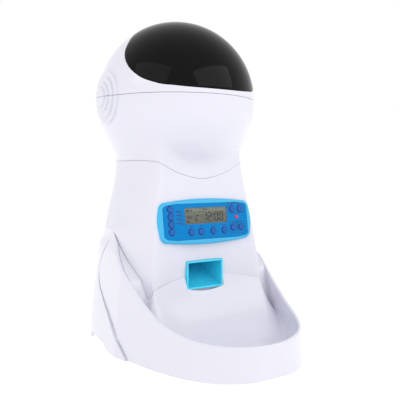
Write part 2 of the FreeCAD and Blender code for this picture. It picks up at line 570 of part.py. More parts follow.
# ---------------------------------------------------------------- power, board, feet and screws
cells, nubs, springs = [], [], []
for number, x in enumerate((-S["cell_pitch"], 0.0, S["cell_pitch"])):
    lay = (0, 1, 0)
    front_end = S["cell_front"]
    cells.append(rod(f"cell_{number}", "cell_radius", "cell_length - 1.5", at(x, front_end + 1.5, S["cell_rise"]), lay))
    nubs.append(rod(f"nub_{number}", "5", "2", at(x, front_end, S["cell_rise"]), lay))
    springs.append(rod(f"contact_{number}", "6", "0.8", at(x, front_end - 0.8, S["cell_rise"]), lay))
group("battery_cells", [joined(f"whole_cell_{n}", [cells[n], nubs[n]]) for n in range(3)])
group("battery_contacts", springs)
inner_half = S["cell_pitch"] + S["cell_radius"] + 0.3
crate = slab("crate", "2 * cell_pitch + 2 * cell_radius + 0.6 + 2 * box_wall", "60",
             "2 * cell_radius + 0.6 + 2 * box_wall",
             at(-inner_half - S["box_wall"], S["cell_front"] - 0.8 - S["box_wall"],
                S["cell_rise"] - S["cell_radius"] - 0.3 - S["box_wall"]))
void = slab("crate_void", "2 * cell_pitch + 2 * cell_radius + 0.6", "80", "2 * cell_radius + 0.6",
            at(-inner_half, S["cell_front"] - 0.8, S["cell_rise"] - S["cell_radius"] - 0.3))
cut("battery_box", crate, [void])

board_z = 52.0
main_board = body("main_board")
outline = sketch_on(main_board, "board_outline")
bound_rectangle(outline, "sheet.board_length", "sheet.board_width")
pad(main_board, outline, "sheet.board_thick", "board_pad")
fixings = sketch_on(main_board, "board_fixings")
for x, y in ((-31, -17), (31, -17), (-31, 17), (31, 17)):
    bound_circle(fixings, "sheet.screw_shank", x, y)
pocket(main_board, fixings, "sheet.board_thick + 1", "board_holes", True)
main_board.Placement = FreeCAD.Placement(at(0, 30, board_z), FreeCAD.Rotation())
stands = [rod(f"stand_{n}", "2.2", "7.2", at(x, y, board_z - 7.2)) for n, (x, y) in
          enumerate(((-31, 13), (31, 13), (-31, 47), (31, 47)))]
group("board_stands", stands)
top_face = board_z + S["board_thick"]
chips = [slab("chip_large", "12", "12", "2", at(-10, 24, top_face)), slab("chip_small", "8", "6", "2", at(12, 20, top_face)),
         rod("capacitor", "4", "11", at(-24, 38, top_face)), slab("relay", "15", "10", "12", at(10, 36, top_face))]
group("board_parts", chips)
speaker = body("speaker")
wide, deep = S["speaker_radius"], S["speaker_thick"]
turned(speaker, [(0, 0), (wide, 0), (wide, 2), (wide * 0.7, 2), (wide * 0.4, deep), (0, deep)], "speaker_turn")
speaker.Placement = FreeCAD.Placement(at(-48, -25, S["plate_low"] + S["floor_thick"]), FreeCAD.Rotation())

jack = slab("jack_block", "jack_size", "jack_length", "jack_size",
            at(S["jack_side"] - S["jack_size"] / 2, 75 - S["jack_length"], S["jack_height"] - S["jack_size"] / 2))
socket = rod("jack_socket", "jack_bore", "10", at(S["jack_side"], 65, S["jack_height"]), (0, 1, 0))
tip = rod("jack_tip", "jack_pin", "10", at(S["jack_side"], 64, S["jack_height"]), (0, 1, 0))
joined("dc_jack", [cut("jack_body", jack, [socket]), tip])

group("rubber_feet", [rod(f"foot_{n}", "foot_radius", "plate_low", at(x, y, 0)) for n, (x, y) in
                      enumerate(((-60, 55), (60, 55), (-60, -28), (60, -28)))])
pads = [rod(f"pad_{n}", "pad_radius", "skirt_foot + 6.3", at(x, -138, 0)) for n, x in enumerate((-34, 34))]
group("tray_pads", pads)
screws = []
for number, (x, y) in enumerate([(x * s, y) for x, y in SCREWS for s in (-1, 1)]):
    base = S["plate_low"] + 0.1
    screws.append(joined(f"screw_{number}", [rod(f"head_{number}", "screw_head", "head_thick", at(x, y, base)),
                                             rod(f"shank_{number}", "screw_shank", "screw_length", at(x, y, base))]))
group("base_screws", screws)

lid_seal = body("lid_seal")
seal_ring = sketch_on(lid_seal, "seal_ring")
bound_circle(seal_ring, "sheet.head_radius - 3.1")
bound_circle(seal_ring, "sheet.head_radius - 7")
pad(lid_seal, seal_ring, "sheet.seal_depth", "seal_pad")
lid_seal.Placement = FreeCAD.Placement(at(0, 0, base_of_lid - S["seal_depth"]), FreeCAD.Rotation())

# ---------------------------------------------------------------- check and export
NODES = """body_shell battery_door base_plate head_housing neck_ring lid_shell lid_visor lid_seal bowl_tray hopper_funnel
rotor_housing food_chute panel_bezel panel_overlay lcd_lens lcd_module keypad_mat panel_board status_led microphone
infrared_sensor rotor rotor_shaft rotor_gear drive_pinion motor_shaft drive_motor motor_bracket battery_cells
battery_contacts battery_box main_board board_stands board_parts speaker dc_jack rubber_feet tray_pads base_screws""".split()
doc.recompute()
for obj in doc.Objects:
    if "Invalid" in obj.State or "Error" in obj.State:
        raise RuntimeError(f"{obj.Label}: {obj.State}")
for label in NODES + list(KEYS):
    shape = doc.getObjectsByLabel(label)[0].Shape
    if shape.isNull() or not shape.isValid() or not shape.Solids:
        raise RuntimeError(f"{label}: null or invalid shape")
    if shape.Volume <= 0:
        raise RuntimeError(f"{label}: inside out")
    shape.exportStep(f"parts/{label}.step")
    limits = shape.BoundBox
    print(f"{label:18s} {len(shape.Solids)} solids {shape.Volume:10.0f} mm3  x {limits.XMin:7.1f} {limits.XMax:7.1f}"
          f"  y {limits.YMin:7.1f} {limits.YMax:7.1f}  z {limits.ZMin:6.1f} {limits.ZMax:6.1f}")
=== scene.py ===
"""Automatic pet feeder: its visible shells, panel and finishes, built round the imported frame."""

import json
import math

import bmesh
import bpy
import numpy as np
from bpy.props import FloatProperty, FloatVectorProperty, PointerProperty
from mathutils import Matrix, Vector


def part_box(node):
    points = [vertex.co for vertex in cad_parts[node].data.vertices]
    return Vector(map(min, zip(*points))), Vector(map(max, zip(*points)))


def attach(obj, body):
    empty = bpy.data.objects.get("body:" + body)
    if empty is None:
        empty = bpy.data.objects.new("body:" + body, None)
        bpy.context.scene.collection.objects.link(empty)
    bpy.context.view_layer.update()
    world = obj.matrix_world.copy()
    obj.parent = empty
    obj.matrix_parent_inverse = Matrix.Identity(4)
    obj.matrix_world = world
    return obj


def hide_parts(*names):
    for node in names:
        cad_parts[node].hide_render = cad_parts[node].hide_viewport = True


bl_info = {
    "name": "Automatic pet feeder",
    "version": (1, 0, 0),
    "blender": (4, 5, 0),
    "location": "3D View > Sidebar > Feeder",
    "description": "Builds the visible shells, panel and finishes of an automatic pet feeder",
    "category": "Add Mesh",
}

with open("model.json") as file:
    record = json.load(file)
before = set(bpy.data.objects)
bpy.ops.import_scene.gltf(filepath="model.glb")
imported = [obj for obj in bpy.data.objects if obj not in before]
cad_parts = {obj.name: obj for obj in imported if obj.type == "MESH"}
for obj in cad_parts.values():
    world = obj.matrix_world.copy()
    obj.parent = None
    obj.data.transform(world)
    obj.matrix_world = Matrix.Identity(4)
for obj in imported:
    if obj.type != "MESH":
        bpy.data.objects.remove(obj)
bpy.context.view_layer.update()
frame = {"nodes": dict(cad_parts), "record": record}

MM = 0.001
BOX = {node: np.array(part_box(node)) / MM for node in frame["nodes"]}
AXIS_Y = float(BOX["lid_seal"][:, 1].mean())
SEAM_Z = float(BOX["lid_shell"][0, 2]) - 0.2
TOP_Z = float(BOX["lid_shell"][1, 2])
HEAD_R = TOP_Z - SEAM_Z
CHIN_SIDE, CHIN_LOW, CHIN_HALF = 190.0, 172.0, 50.0
SIDE_POWER = 2.4
NECK_TOP = 204.0
TAU = 2 * math.pi

# Column stations: height, half width, rear reach, crease half width, crease reach, middle reach.
COLUMN = np.array([
    (2, 76.0, 72.0, 62.0, 67.0, 55.0),
    (75, 76.0, 72.0, 62.5, 67.0, 55.0),
    (92, 76.0, 71.5, 61.0, 65.5, 57.0),
    (108, 76.6, 70.5, 59.0, 63.5, 58.4),
    (120, 77.2, 69.5, 57.2, 61.6, 58.6),
    (135, 73.8, 67.5, 55.2, 59.2, 57.6),
    (150, 70.2, 65.0, 53.2, 57.0, 56.2),
    (168, 66.0, 62.5, 50.4, 54.2, 53.8),
    (182, 64.2, 61.0, 48.4, 52.2, 52.0),
    (204, 63.6, 60.5, 46.0, 50.0, 50.0),
])


# ---------------------------------------------------------------- curves and fields
def smooth_curve(stops, values, at):
    """A piecewise cubic through the stops whose slopes are the mean of the two chords beside each stop."""
    stops, values, at = np.asarray(stops, float), np.asarray(values, float), np.asarray(at, float)
    chords = np.diff(values) / np.diff(stops)
    slopes = np.concatenate([chords[:1], (chords[1:] + chords[:-1]) / 2, chords[-1:]])
    at = np.clip(at, stops[0], stops[-1])
    k = np.clip(np.searchsorted(stops, at) - 1, 0, len(stops) - 2)
    width = stops[k + 1] - stops[k]
    t = (at - stops[k]) / width
    return ((2 * t ** 3 - 3 * t ** 2 + 1) * values[k] + (t ** 3 - 2 * t ** 2 + t) * width * slopes[k]
            + (3 * t ** 2 - 2 * t ** 3) * values[k + 1] + (t ** 3 - t ** 2) * width * slopes[k + 1])


def smooth_step(low, high, at):
    """0 below low, 1 above high, and a cubic ease between."""
    t = np.clip((at - low) / (high - low), 0, 1)
    return t * t * (3 - 2 * t)


def smooth_max(a, b, width):
    """The larger of two fields, rounded over a band of the given width."""
    h = np.clip(0.5 + 0.5 * (a - b) / width, 0, 1)
    return b + (a - b) * h + width * h * (1 - h)


def smooth_min(a, b, width):
    return -smooth_max(-a, -b, width)


def column_half_sections(z):
    """Half width, rear reach, crease half width, crease reach and middle reach of the column at heights z."""
    return [smooth_curve(COLUMN[:, 0], COLUMN[:, k], z) for k in range(1, 6)]


def column_radius(turn, z):
    """Reach of the column from its axis. turn is 0 at the front and grows towards +X.

    The sides are a superellipse; the front is a shallow hollow (reach = middle + bow * x squared),
    and the two meet in a soft crease."""
    half, rear, crease_x, crease_y, middle = column_half_sections(z)
    fore = crease_y / (1 - (crease_x / half) ** SIDE_POWER) ** (1 / SIDE_POWER)
    across, ahead = np.sin(turn), np.cos(turn)
    depth = np.where(ahead > 0, fore, rear)
    side = ((np.abs(across) / half) ** SIDE_POWER
            + (np.abs(ahead) / depth) ** SIDE_POWER) ** (-1 / SIDE_POWER)
    bow = (crease_y - middle) / crease_x ** 2
    inside = ahead ** 2 - 4 * bow * middle * across ** 2
    front = 2 * middle / np.maximum(ahead + np.sqrt(np.maximum(inside, 0)), 0.05)
    front = np.where((ahead > 0.05) & (inside > 0), front, 400.0)
    return smooth_min(side, front, 3.0)


def sphere_radius(z, radius):
    """Distance from the axis to the head's sphere at heights z, or 1 where the sphere doesn't reach."""
    return np.sqrt(np.maximum(radius ** 2 - (z - SEAM_Z) ** 2, 1.0))


def head_radius(turn, z):
    """The head below its seam: the sphere flowed into the neck of the column."""
    return smooth_max(sphere_radius(z, HEAD_R), column_radius(turn, np.minimum(z, NECK_TOP)), 9.0)


def neck_seam(x, turn):
    """Height of the joint between head and column: level, with a dip under the chin."""
    rise = CHIN_SIDE - CHIN_LOW
    out = np.array([CHIN_HALF * 0.62, CHIN_HALF, CHIN_HALF + 10])
    up = np.array([CHIN_SIDE - rise * 0.6, CHIN_SIDE - 1.4, CHIN_SIDE])
    dip = smooth_curve([*-out[::-1], 0, *out], [*up[::-1], CHIN_LOW, *up], np.clip(x, -out[2], out[2]))
    return np.where(np.cos(turn) > 0, dip, CHIN_SIDE)


def seam_heights(turn, radius):
    """The joint's height at each turn, found by feeding the shell's own reach back in."""
    z = np.full_like(turn, CHIN_SIDE)
    for _ in range(12):
        z = 0.5 * z + 0.5 * neck_seam(radius(turn, z) * np.sin(turn), turn)
    return z


# Footprint outline: half width, middle, and for nose and rear a length, a taper and a power.
EGG_HALF, EGG_MIDDLE = 92.0, -45.0
EGG_NOSE = (126.0, 0.33, 5.0)
EGG_REAR = (125.0, 0.08, 7.0)
FENDER_PROUD, FENDER_LOW, FENDER_HIGH = 2.4, 25.0, 80.0
BLEND_LOW, BLEND_HIGH = 98.0, 121.0
FOOT_Z = 2.0
FLOOR_Z = 12.0
WING_TOP = 117.0
# Side outline, as (distance in front of the axis, height).
RIM = np.array([(175, 31), (156, 33), (138, 35.5), (118, 40), (98, 47), (77, 59), (57, 73), (42, 85),
                (28, 96), (8, 117)])
REAR_EDGE = np.array([(8, 117.5), (-6, 104), (-16, 93), (-22, 82), (-23, 73), (-15, 60), (3, 47),
                      (25, 33), (45, 19), (56, 9), (63, 2)])
TRAY_GAP = 0.5


def egg_scale(z):
    return 1 - 0.0005 * z - 0.0000042 * z ** 2, 1 - 0.0005 * z


def egg_point(swing, z, grow=0.0):
    """A point of the footprint outline: swing runs from -90 degrees at the nose to 90 at the rear."""
    across, along = egg_scale(z)
    s = np.sin(swing)
    length, taper, power = [np.where(s < 0, nose, rear) for nose, rear in zip(EGG_NOSE, EGG_REAR)]
    x = (EGG_HALF * across + grow) * (1 - taper * np.abs(s)) * np.sqrt(np.maximum(1 - np.abs(s) ** power, 0))
    return x, EGG_MIDDLE * along + (length * along + grow) * s


def egg_half(y, z, grow=0.0):
    """Half width of the footprint outline at a distance y along it."""
    across, along = egg_scale(z)
    ahead = y - EGG_MIDDLE * along
    length, taper, power = [np.where(ahead < 0, nose, rear) for nose, rear in zip(EGG_NOSE, EGG_REAR)]
    s = np.clip(np.abs(ahead) / (length * along + grow), 0, 1)
    return (EGG_HALF * across + grow) * (1 - taper * s) * np.sqrt(np.maximum(1 - s ** power, 0))


def column_side(y, z):
    """Half width of the column at a distance y along it, at its sides."""
    half, rear, crease_x, crease_y, _ = column_half_sections(z)
    fore = crease_y / (1 - (crease_x / half) ** SIDE_POWER) ** (1 / SIDE_POWER)
    depth = np.where(y < 0, fore, rear)
    return half * np.maximum(1 - np.minimum(np.abs(y) / depth, 1) ** SIDE_POWER, 0) ** (1 / SIDE_POWER)


def skin_half(y, z):
    """The wing's outside: the footprint outline, drawn in to the column's side near the top."""
    blend = smooth_step(BLEND_LOW, BLEND_HIGH, z)
    return egg_half(y, z) * (1 - blend) + (column_side(y, z) + 0.8) * blend


def fender(z):
    return FENDER_PROUD * np.clip((FENDER_HIGH - z) / (FENDER_HIGH - FENDER_LOW), 0, 1)


def rear_skin_radius(turn, z):
    """Reach of the rear housing at one height: the outline, blended into the column higher up."""
    swing = np.linspace(-math.pi / 2, math.pi / 2, 720)
    x, y = egg_point(swing, z, float(fender(z)))
    angle, reach = np.arctan2(x, -y), np.hypot(x, y)
    folded = np.where(turn > math.pi, TAU - turn, turn)
    outline = np.interp(folded, angle, reach)
    blend = smooth_step(BLEND_LOW, BLEND_HIGH, z)
    return outline * (1 - blend) + (column_radius(turn, np.full_like(turn, z)) + 0.25) * blend


# ---------------------------------------------------------------- meshes
def quads(rows, cols, wrap=False, start=0):
    """Four-sided faces between neighbouring points of a grid, closed round the columns if wrap."""
    r = np.arange(rows - 1)[:, None]
    c = np.arange(cols if wrap else cols - 1)[None, :]
    after = (c + 1) % cols
    faces = np.stack([r * cols + c, r * cols + after, (r + 1) * cols + after, (r + 1) * cols + c], -1)
    return faces.reshape(-1, 4) + start


def polar(turn, reach, z):
    """Points from a turn about the column's axis, a reach and a height."""
    turn, reach, z = np.broadcast_arrays(turn, reach, z)
    return np.stack([reach * np.sin(turn), -reach * np.cos(turn), z], -1)


def normals(grid, wrap):
    """Unit normals of a grid of points, from the cross product of its two directions."""
    down = np.gradient(grid, axis=0)
    along = (np.roll(grid, -1, 1) - np.roll(grid, 1, 1)) / 2 if wrap else np.gradient(grid, axis=1)
    n = np.cross(along, down)
    return n / np.maximum(np.linalg.norm(n, axis=-1, keepdims=True), 1e-9)


def walled(grid, wall, wrap=False):
    """A closed shell: the grid, a copy moved inwards by wall, and strips that join their edges."""
    n = normals(grid, wrap)
    outwards = np.sum(n * grid * [1, 1, 0])
    inner = grid - n * wall * (1 if outwards > 0 else -1)
    rows, cols = grid.shape[:2]
    size = rows * cols
    faces = [quads(rows, cols, wrap), quads(rows, cols, wrap, size)[:, ::-1]]
    c = np.arange(cols if wrap else cols - 1)
    after = (c + 1) % cols
    for row in (0, rows - 1):
        faces.append(np.stack([row * cols + c, row * cols + after, size + row * cols + after,
                               size + row * cols + c], -1))
    if not wrap:
        r = np.arange(rows - 1)
        for col in (0, cols - 1):
            faces.append(np.stack([r * cols + col, (r + 1) * cols + col, size + (r + 1) * cols + col,
                                   size + r * cols + col], -1))
    return np.concatenate([grid.reshape(-1, 3), inner.reshape(-1, 3)]), np.concatenate(faces)


def joined(*parts):
    """Several (points, faces) pairs as one."""
    points, faces, start = [], [], 0
    for p, f in parts:
        points.append(p)
        faces.extend((np.asarray(face) + start).tolist() for face in f)
        start += len(p)
    return np.concatenate(points), faces


def new_piece(name, points, faces, body, nodes, material, slot, sharp=32.0):
    """Puts points, in millimetres from the column's axis, into a mesh that rides on a body."""
    mesh = bpy.data.meshes.new(name)
    placed = (np.asarray(points, float) + [0, AXIS_Y, 0]) * MM
    mesh.from_pydata(placed.tolist(), [], [list(map(int, f)) for f in faces])
    work = bmesh.new()
    work.from_mesh(mesh)
    bmesh.ops.remove_doubles(work, verts=work.verts, dist=2e-6)
    bmesh.ops.dissolve_degenerate(work, edges=work.edges, dist=1e-6)
    bmesh.ops.recalc_face_normals(work, faces=work.faces)
    work.to_mesh(mesh)
    work.free()
    mesh.shade_smooth()
    mesh.set_sharp_from_angle(angle=math.radians(sharp))
    obj = bpy.data.objects.new(name, mesh)
    bpy.context.scene.collection.objects.link(obj)
    obj.data.materials.append(material)
    if body:
        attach(obj, body)
    if nodes:
        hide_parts(*nodes)
    return obj


def cut_boxes(obj, boxes):
    """Cuts closed holes through a piece. Each box is eight corners, in millimetres from the column's axis."""
    for corners in boxes:
        mesh = bpy.data.meshes.new("cutter")
        faces = [(0, 3, 2, 1), (4, 5, 6, 7), (0, 1, 5, 4), (1, 2, 6, 5), (2, 3, 7, 6), (3, 0, 4, 7)]
        mesh.from_pydata(((np.asarray(corners) + [0, AXIS_Y, 0]) * MM).tolist(), [], faces)
        cutter = bpy.data.objects.new("cutter", mesh)
        bpy.context.scene.collection.objects.link(cutter)
        cut = obj.modifiers.new("hole", "BOOLEAN")
        cut.object = cutter
        cut.operation = "DIFFERENCE"
        cut.solver = "EXACT"
        bpy.context.view_layer.update()
        result = bpy.data.meshes.new_from_object(obj.evaluated_get(bpy.context.evaluated_depsgraph_get()))
        obj.modifiers.remove(cut)
        bpy.data.objects.remove(cutter)
        obj.data = result


def corner_box(x0, x1, y0, y1, z0, z1):
    return [(x0, y0, z0), (x1, y0, z0), (x1, y1, z0), (x0, y1, z0), (x0, y0, z1), (x1, y0, z1),
            (x1, y1, z1), (x0, y1, z1)]


def rounded_path(corners, radius, steps=4):
    """An open line through the corners with each inner corner replaced by a parabola arc."""
    corners = np.asarray(corners, float)
    path = [corners[:1]]
    t = np.linspace(0, 1, steps + 1)[:, None]
    for before, corner, after in zip(corners[:-2], corners[1:-1], corners[2:]):
        a, b = before - corner, after - corner
        a = corner + a * min(0.5, radius / np.linalg.norm(a))
        b = corner + b * min(0.5, radius / np.linalg.norm(b))
        path.append((1 - t) ** 2 * a + 2 * t * (1 - t) * corner + t ** 2 * b)
    path.append(corners[-1:])
    return np.concatenate(path)


# ---------------------------------------------------------------- head and lid
EAR_RINGS = ((26.0, 82.2), (19.8, 84.5), (13.7, 86.8), (9.4, 89.1))
EAR_ROOT = 82.4
HALF_GAP = 0.2
AROUND = 288


def ear_mesh(side, upper):
    """Half of a stepped boss, turned half way round the head's side axis, then capped.

    Its profile runs along a sphere inside the head's wall, then out over the rings."""
    lean = np.linspace(0, math.asin(EAR_RINGS[0][0] / EAR_ROOT), 14)
    back = np.stack([EAR_ROOT * np.cos(lean), EAR_ROOT * np.sin(lean)], -1)
    stair = [(back[-1, 0], EAR_RINGS[0][0])]
    for radius, out in EAR_RINGS:
        stair += [(stair[-1][0], radius), (out, radius)]
    profile = rounded_path([stair[0]] + stair[2:] + [(EAR_RINGS[-1][1], 0.0)], 0.55, 4)
    profile = np.concatenate([back[:-1], profile])
    turn = np.linspace(0, math.pi, 65)[:, None] + (0 if upper else math.pi)
    lift = SEAM_Z + (HALF_GAP if upper else -HALF_GAP)
    x = np.broadcast_to(side * profile[:, 0], (65, len(profile)))
    grid = np.stack([x, profile[:, 1] * np.cos(turn), lift + profile[:, 1] * np.sin(turn)], -1)
    count = len(profile)
    faces = quads(65, count).tolist()
    lid = [list(range(64 * count, 65 * count))[::-1] + list(range(count))]
    return grid.reshape(-1, 3), faces + lid


def head_mesh(skin):
    turn = np.arange(AROUND) / AROUND * TAU
    low = seam_heights(turn, head_radius) + 0.3
    high = SEAM_Z - HALF_GAP
    share = np.sin(np.linspace(0, math.pi / 2, 60))[:, None]
    z = low + (high - low) * share
    outer = polar(turn, head_radius(turn[None], z), z)
    inner_reach = np.maximum(sphere_radius(z, HEAD_R - skin),
                             column_radius(turn[None], np.minimum(z, NECK_TOP)) - skin)
    return closed_tube(outer, polar(turn, inner_reach, z))


def closed_tube(outer, inner):
    """Two tubes with the same grid, joined at their ends."""
    rows, cols = outer.shape[:2]
    stack = np.concatenate([outer, inner[::-1], outer[:1]])
    return stack.reshape(-1, 3), quads(2 * rows + 1, cols, True)


VISOR_EDGE = [(0, 4.4), (12, 4.5), (24.9, 4.9), (34, 5.5), (42.5, 6.4), (52.4, 7.7), (59.6, 10.4),
              (66.1, 14.6), (70.7, 21.7),
              (72.3, 28.9), (71.4, 37.6), (68.6, 45.1), (61.6, 55.9), (51.5, 66.2)]
VISOR_CROWN = [(38, 74.6), (20, 81.3)]
VISOR_BACK = -3.0


def visor_outline(count):
    """Directions round the visor's edge: points on the right half, mirrored and joined by a curve."""
    front = [(x, -math.sqrt(HEAD_R ** 2 - x ** 2 - z ** 2), z) for x, z in VISOR_EDGE]
    crown = [(x, VISOR_BACK, math.sqrt(HEAD_R ** 2 - VISOR_BACK ** 2 - x ** 2)) for x, _ in VISOR_CROWN]
    right = front + crown + [(0, VISOR_BACK, math.sqrt(HEAD_R ** 2 - VISOR_BACK ** 2))]
    left = [(-x, y, z) for x, y, z in right[::-1][1:-1]]
    points = np.array(right + left)
    ring = np.concatenate([points[-3:], points, points[:4]])
    length = np.concatenate([[0], np.cumsum(np.linalg.norm(np.diff(ring, axis=0), axis=1))])
    start, end = length[3], length[3 + len(points)]
    at = start + (end - start) * np.arange(count) / count
    curve = np.stack([smooth_curve(length, ring[:, k], at) for k in range(3)], -1)
    return curve / np.linalg.norm(curve, axis=1, keepdims=True)


def arc_between(a, b, share):
    """Directions on the great circle from a to b."""
    angle = np.arccos(np.clip(np.sum(a * b, -1, keepdims=True), -1, 1))
    return (a * np.sin((1 - share) * angle) + b * np.sin(share * angle)) / np.maximum(np.sin(angle), 1e-9)


def on_head(direction, radius):
    return direction * radius + [0, 0, SEAM_Z]


VISOR_THICK = 1.2
VISOR_GAP = 0.14
LID_WALL = 2.6


def visor_mesh():
    """A cap of the sphere from its middle out to the edge, with the edge rolled in."""
    edge = visor_outline(320)
    middle = edge.mean(axis=0)
    middle = middle / np.linalg.norm(middle)
    shrink = VISOR_GAP / HEAD_R / np.arccos(np.clip(edge @ middle, -1, 1))[:, None]
    rows = [on_head(arc_between(middle, edge, share * (1 - shrink)), HEAD_R)
            for share in np.linspace(0, 0.985, 42)]
    for share, drop in ((0.993, 0.05), (0.998, 0.22), (1.0, 0.5), (1.0, VISOR_THICK)):
        rows.append(on_head(arc_between(middle, edge, share * (1 - shrink)), HEAD_R - drop))
    rows += [on_head(arc_between(middle, edge, share), HEAD_R - VISOR_THICK)
             for share in np.linspace(0.98, 0, 12)]
    return np.stack(rows).reshape(-1, 3), quads(len(rows), 320, True)


def lid_mesh():
    """From the recess under the visor, over its edge, down the dome to the rim, and up the inside."""
    edge = visor_outline(320)
    middle = edge.mean(axis=0)
    middle = middle / np.linalg.norm(middle)
    low = HALF_GAP / HEAD_R
    even = np.arange(161) / 160
    turn = np.maximum.accumulate(np.arctan2(edge[:161, 0], -edge[:161, 1]) * (np.arange(161) < 160))
    right = turn * (1 - even ** 2) + math.pi * even ** 3
    spread = np.concatenate([right, TAU - right[159:0:-1]])
    rim = np.stack([np.sin(spread) * math.cos(low), -np.cos(spread) * math.cos(low),
                    np.full(320, math.sin(low))], -1)
    rows = [on_head(middle[None] + 0 * edge, HEAD_R - VISOR_THICK - 0.05)]
    rows += [on_head(arc_between(middle, edge, share), HEAD_R - VISOR_THICK - 0.05)
             for share in np.linspace(0.1, 1, 10)]
    rows += [on_head(arc_between(edge, rim, share), HEAD_R - drop)
             for share, drop in ((0, 0.5), (0.0005, 0.2), (0.004, 0.04))]
    rows += [on_head(arc_between(edge, rim, share), HEAD_R)
             for share in 1 - (1 - np.linspace(0.01, 0.995, 60)) ** 1.2]
    rim_line = np.stack([np.sin(spread), -np.cos(spread)], -1)
    for inset, lift in ((0.15, 0.35), (0.45, 0.1), (0.9, 0.0), (LID_WALL + 5.0, 0.0),
                        (LID_WALL + 5.0, 2.0), (LID_WALL, 2.0)):
        ring = rim_line * (HEAD_R - inset)
        rows.append(np.concatenate([ring, np.full((320, 1), SEAM_Z + HALF_GAP + lift)], 1))
    for angle in np.linspace(math.radians(4), math.pi / 2, 24):
        ring = rim_line * (HEAD_R - LID_WALL) * math.cos(angle)
        rows.append(np.concatenate([ring, np.full((320, 1),
                                                  SEAM_Z + (HEAD_R - LID_WALL) * math.sin(angle))], 1))
    return np.stack(rows).reshape(-1, 3), quads(len(rows), 320, True)


# ---------------------------------------------------------------- body
def column_mesh(skin):
    turn = np.arange(AROUND) / AROUND * TAU
    high = seam_heights(turn, column_radius)
    z = FOOT_Z + (high - FOOT_Z) * np.linspace(0, 1, 90)[:, None]
    reach = column_radius(turn[None], z)
    reach = np.where(z > 165, np.maximum(reach, smooth_max(sphere_radius(z, HEAD_R), reach, 9.0)), reach)
    return closed_tube(polar(turn, reach, z), polar(turn, reach - skin, z))


def rear_mesh():
    """The housing behind the tray: a ring of turns per height, between the ends of the tray's rear edge."""
    heights = np.concatenate([np.linspace(FOOT_Z, 96, 40), np.linspace(98, BLEND_HIGH, 16)])
    edge_y = -smooth_curve(REAR_EDGE[::-1, 1], REAR_EDGE[::-1, 0], np.minimum(heights, WING_TOP)) + TRAY_GAP
    rows = []
    across = np.linspace(0, 1, 241)
    for z, y in zip(heights, edge_y):
        x = egg_half(np.array(y), z, float(fender(z)))
        x = x + (column_side(np.array(y), z) + 0.25 - x) * smooth_step(BLEND_LOW, BLEND_HIGH, z)
        first = math.atan2(float(x), -float(y))
        turn = first + (TAU - 2 * first) * across
        reach = rear_skin_radius(turn, z)
        points = polar(turn, reach, np.full_like(turn, z))
        arch = 6.0 * smooth_step(-24, -8, points[:, 1]) * (1 - smooth_step(26, 31, points[:, 1]))
        points[:, 2] += arch * np.clip(1 - (z - FOOT_Z) / 24, 0, 1)
        rows.append(points)
    return walled(np.stack(rows), 3.0)


def door_mesh():
    """The battery cover: a patch of the rear housing's own skin."""
    low, high = BOX["battery_door"][0, 2] + 0.2, BOX["battery_door"][1, 2] - 0.2
    half = BOX["battery_door"][1, 0] - 0.2
    rows = []
    for z in np.linspace(low, high, 24):
        turn = np.linspace(math.pi - 1.1, math.pi + 1.1, 400)
        reach = rear_skin_radius(turn, z)
        x, y = reach * np.sin(turn), -reach * np.cos(turn)
        line = np.linspace(half, -half, 90)
        grip = 1.2 * np.exp(-((z - high + 7) / 2.2) ** 2) * (np.abs(line) < 13)
        rows.append(np.stack([line, np.interp(line, x[::-1], y[::-1]) - grip, np.full(90, z)], -1))
    return walled(np.stack(rows), 2.6)


# ---------------------------------------------------------------- tray
TRAY_SHEET = 2.6
WALL_TOP_MIDDLE, WALL_TOP_CREASE = 75.0, 66.0
CREASE_X = 62.3


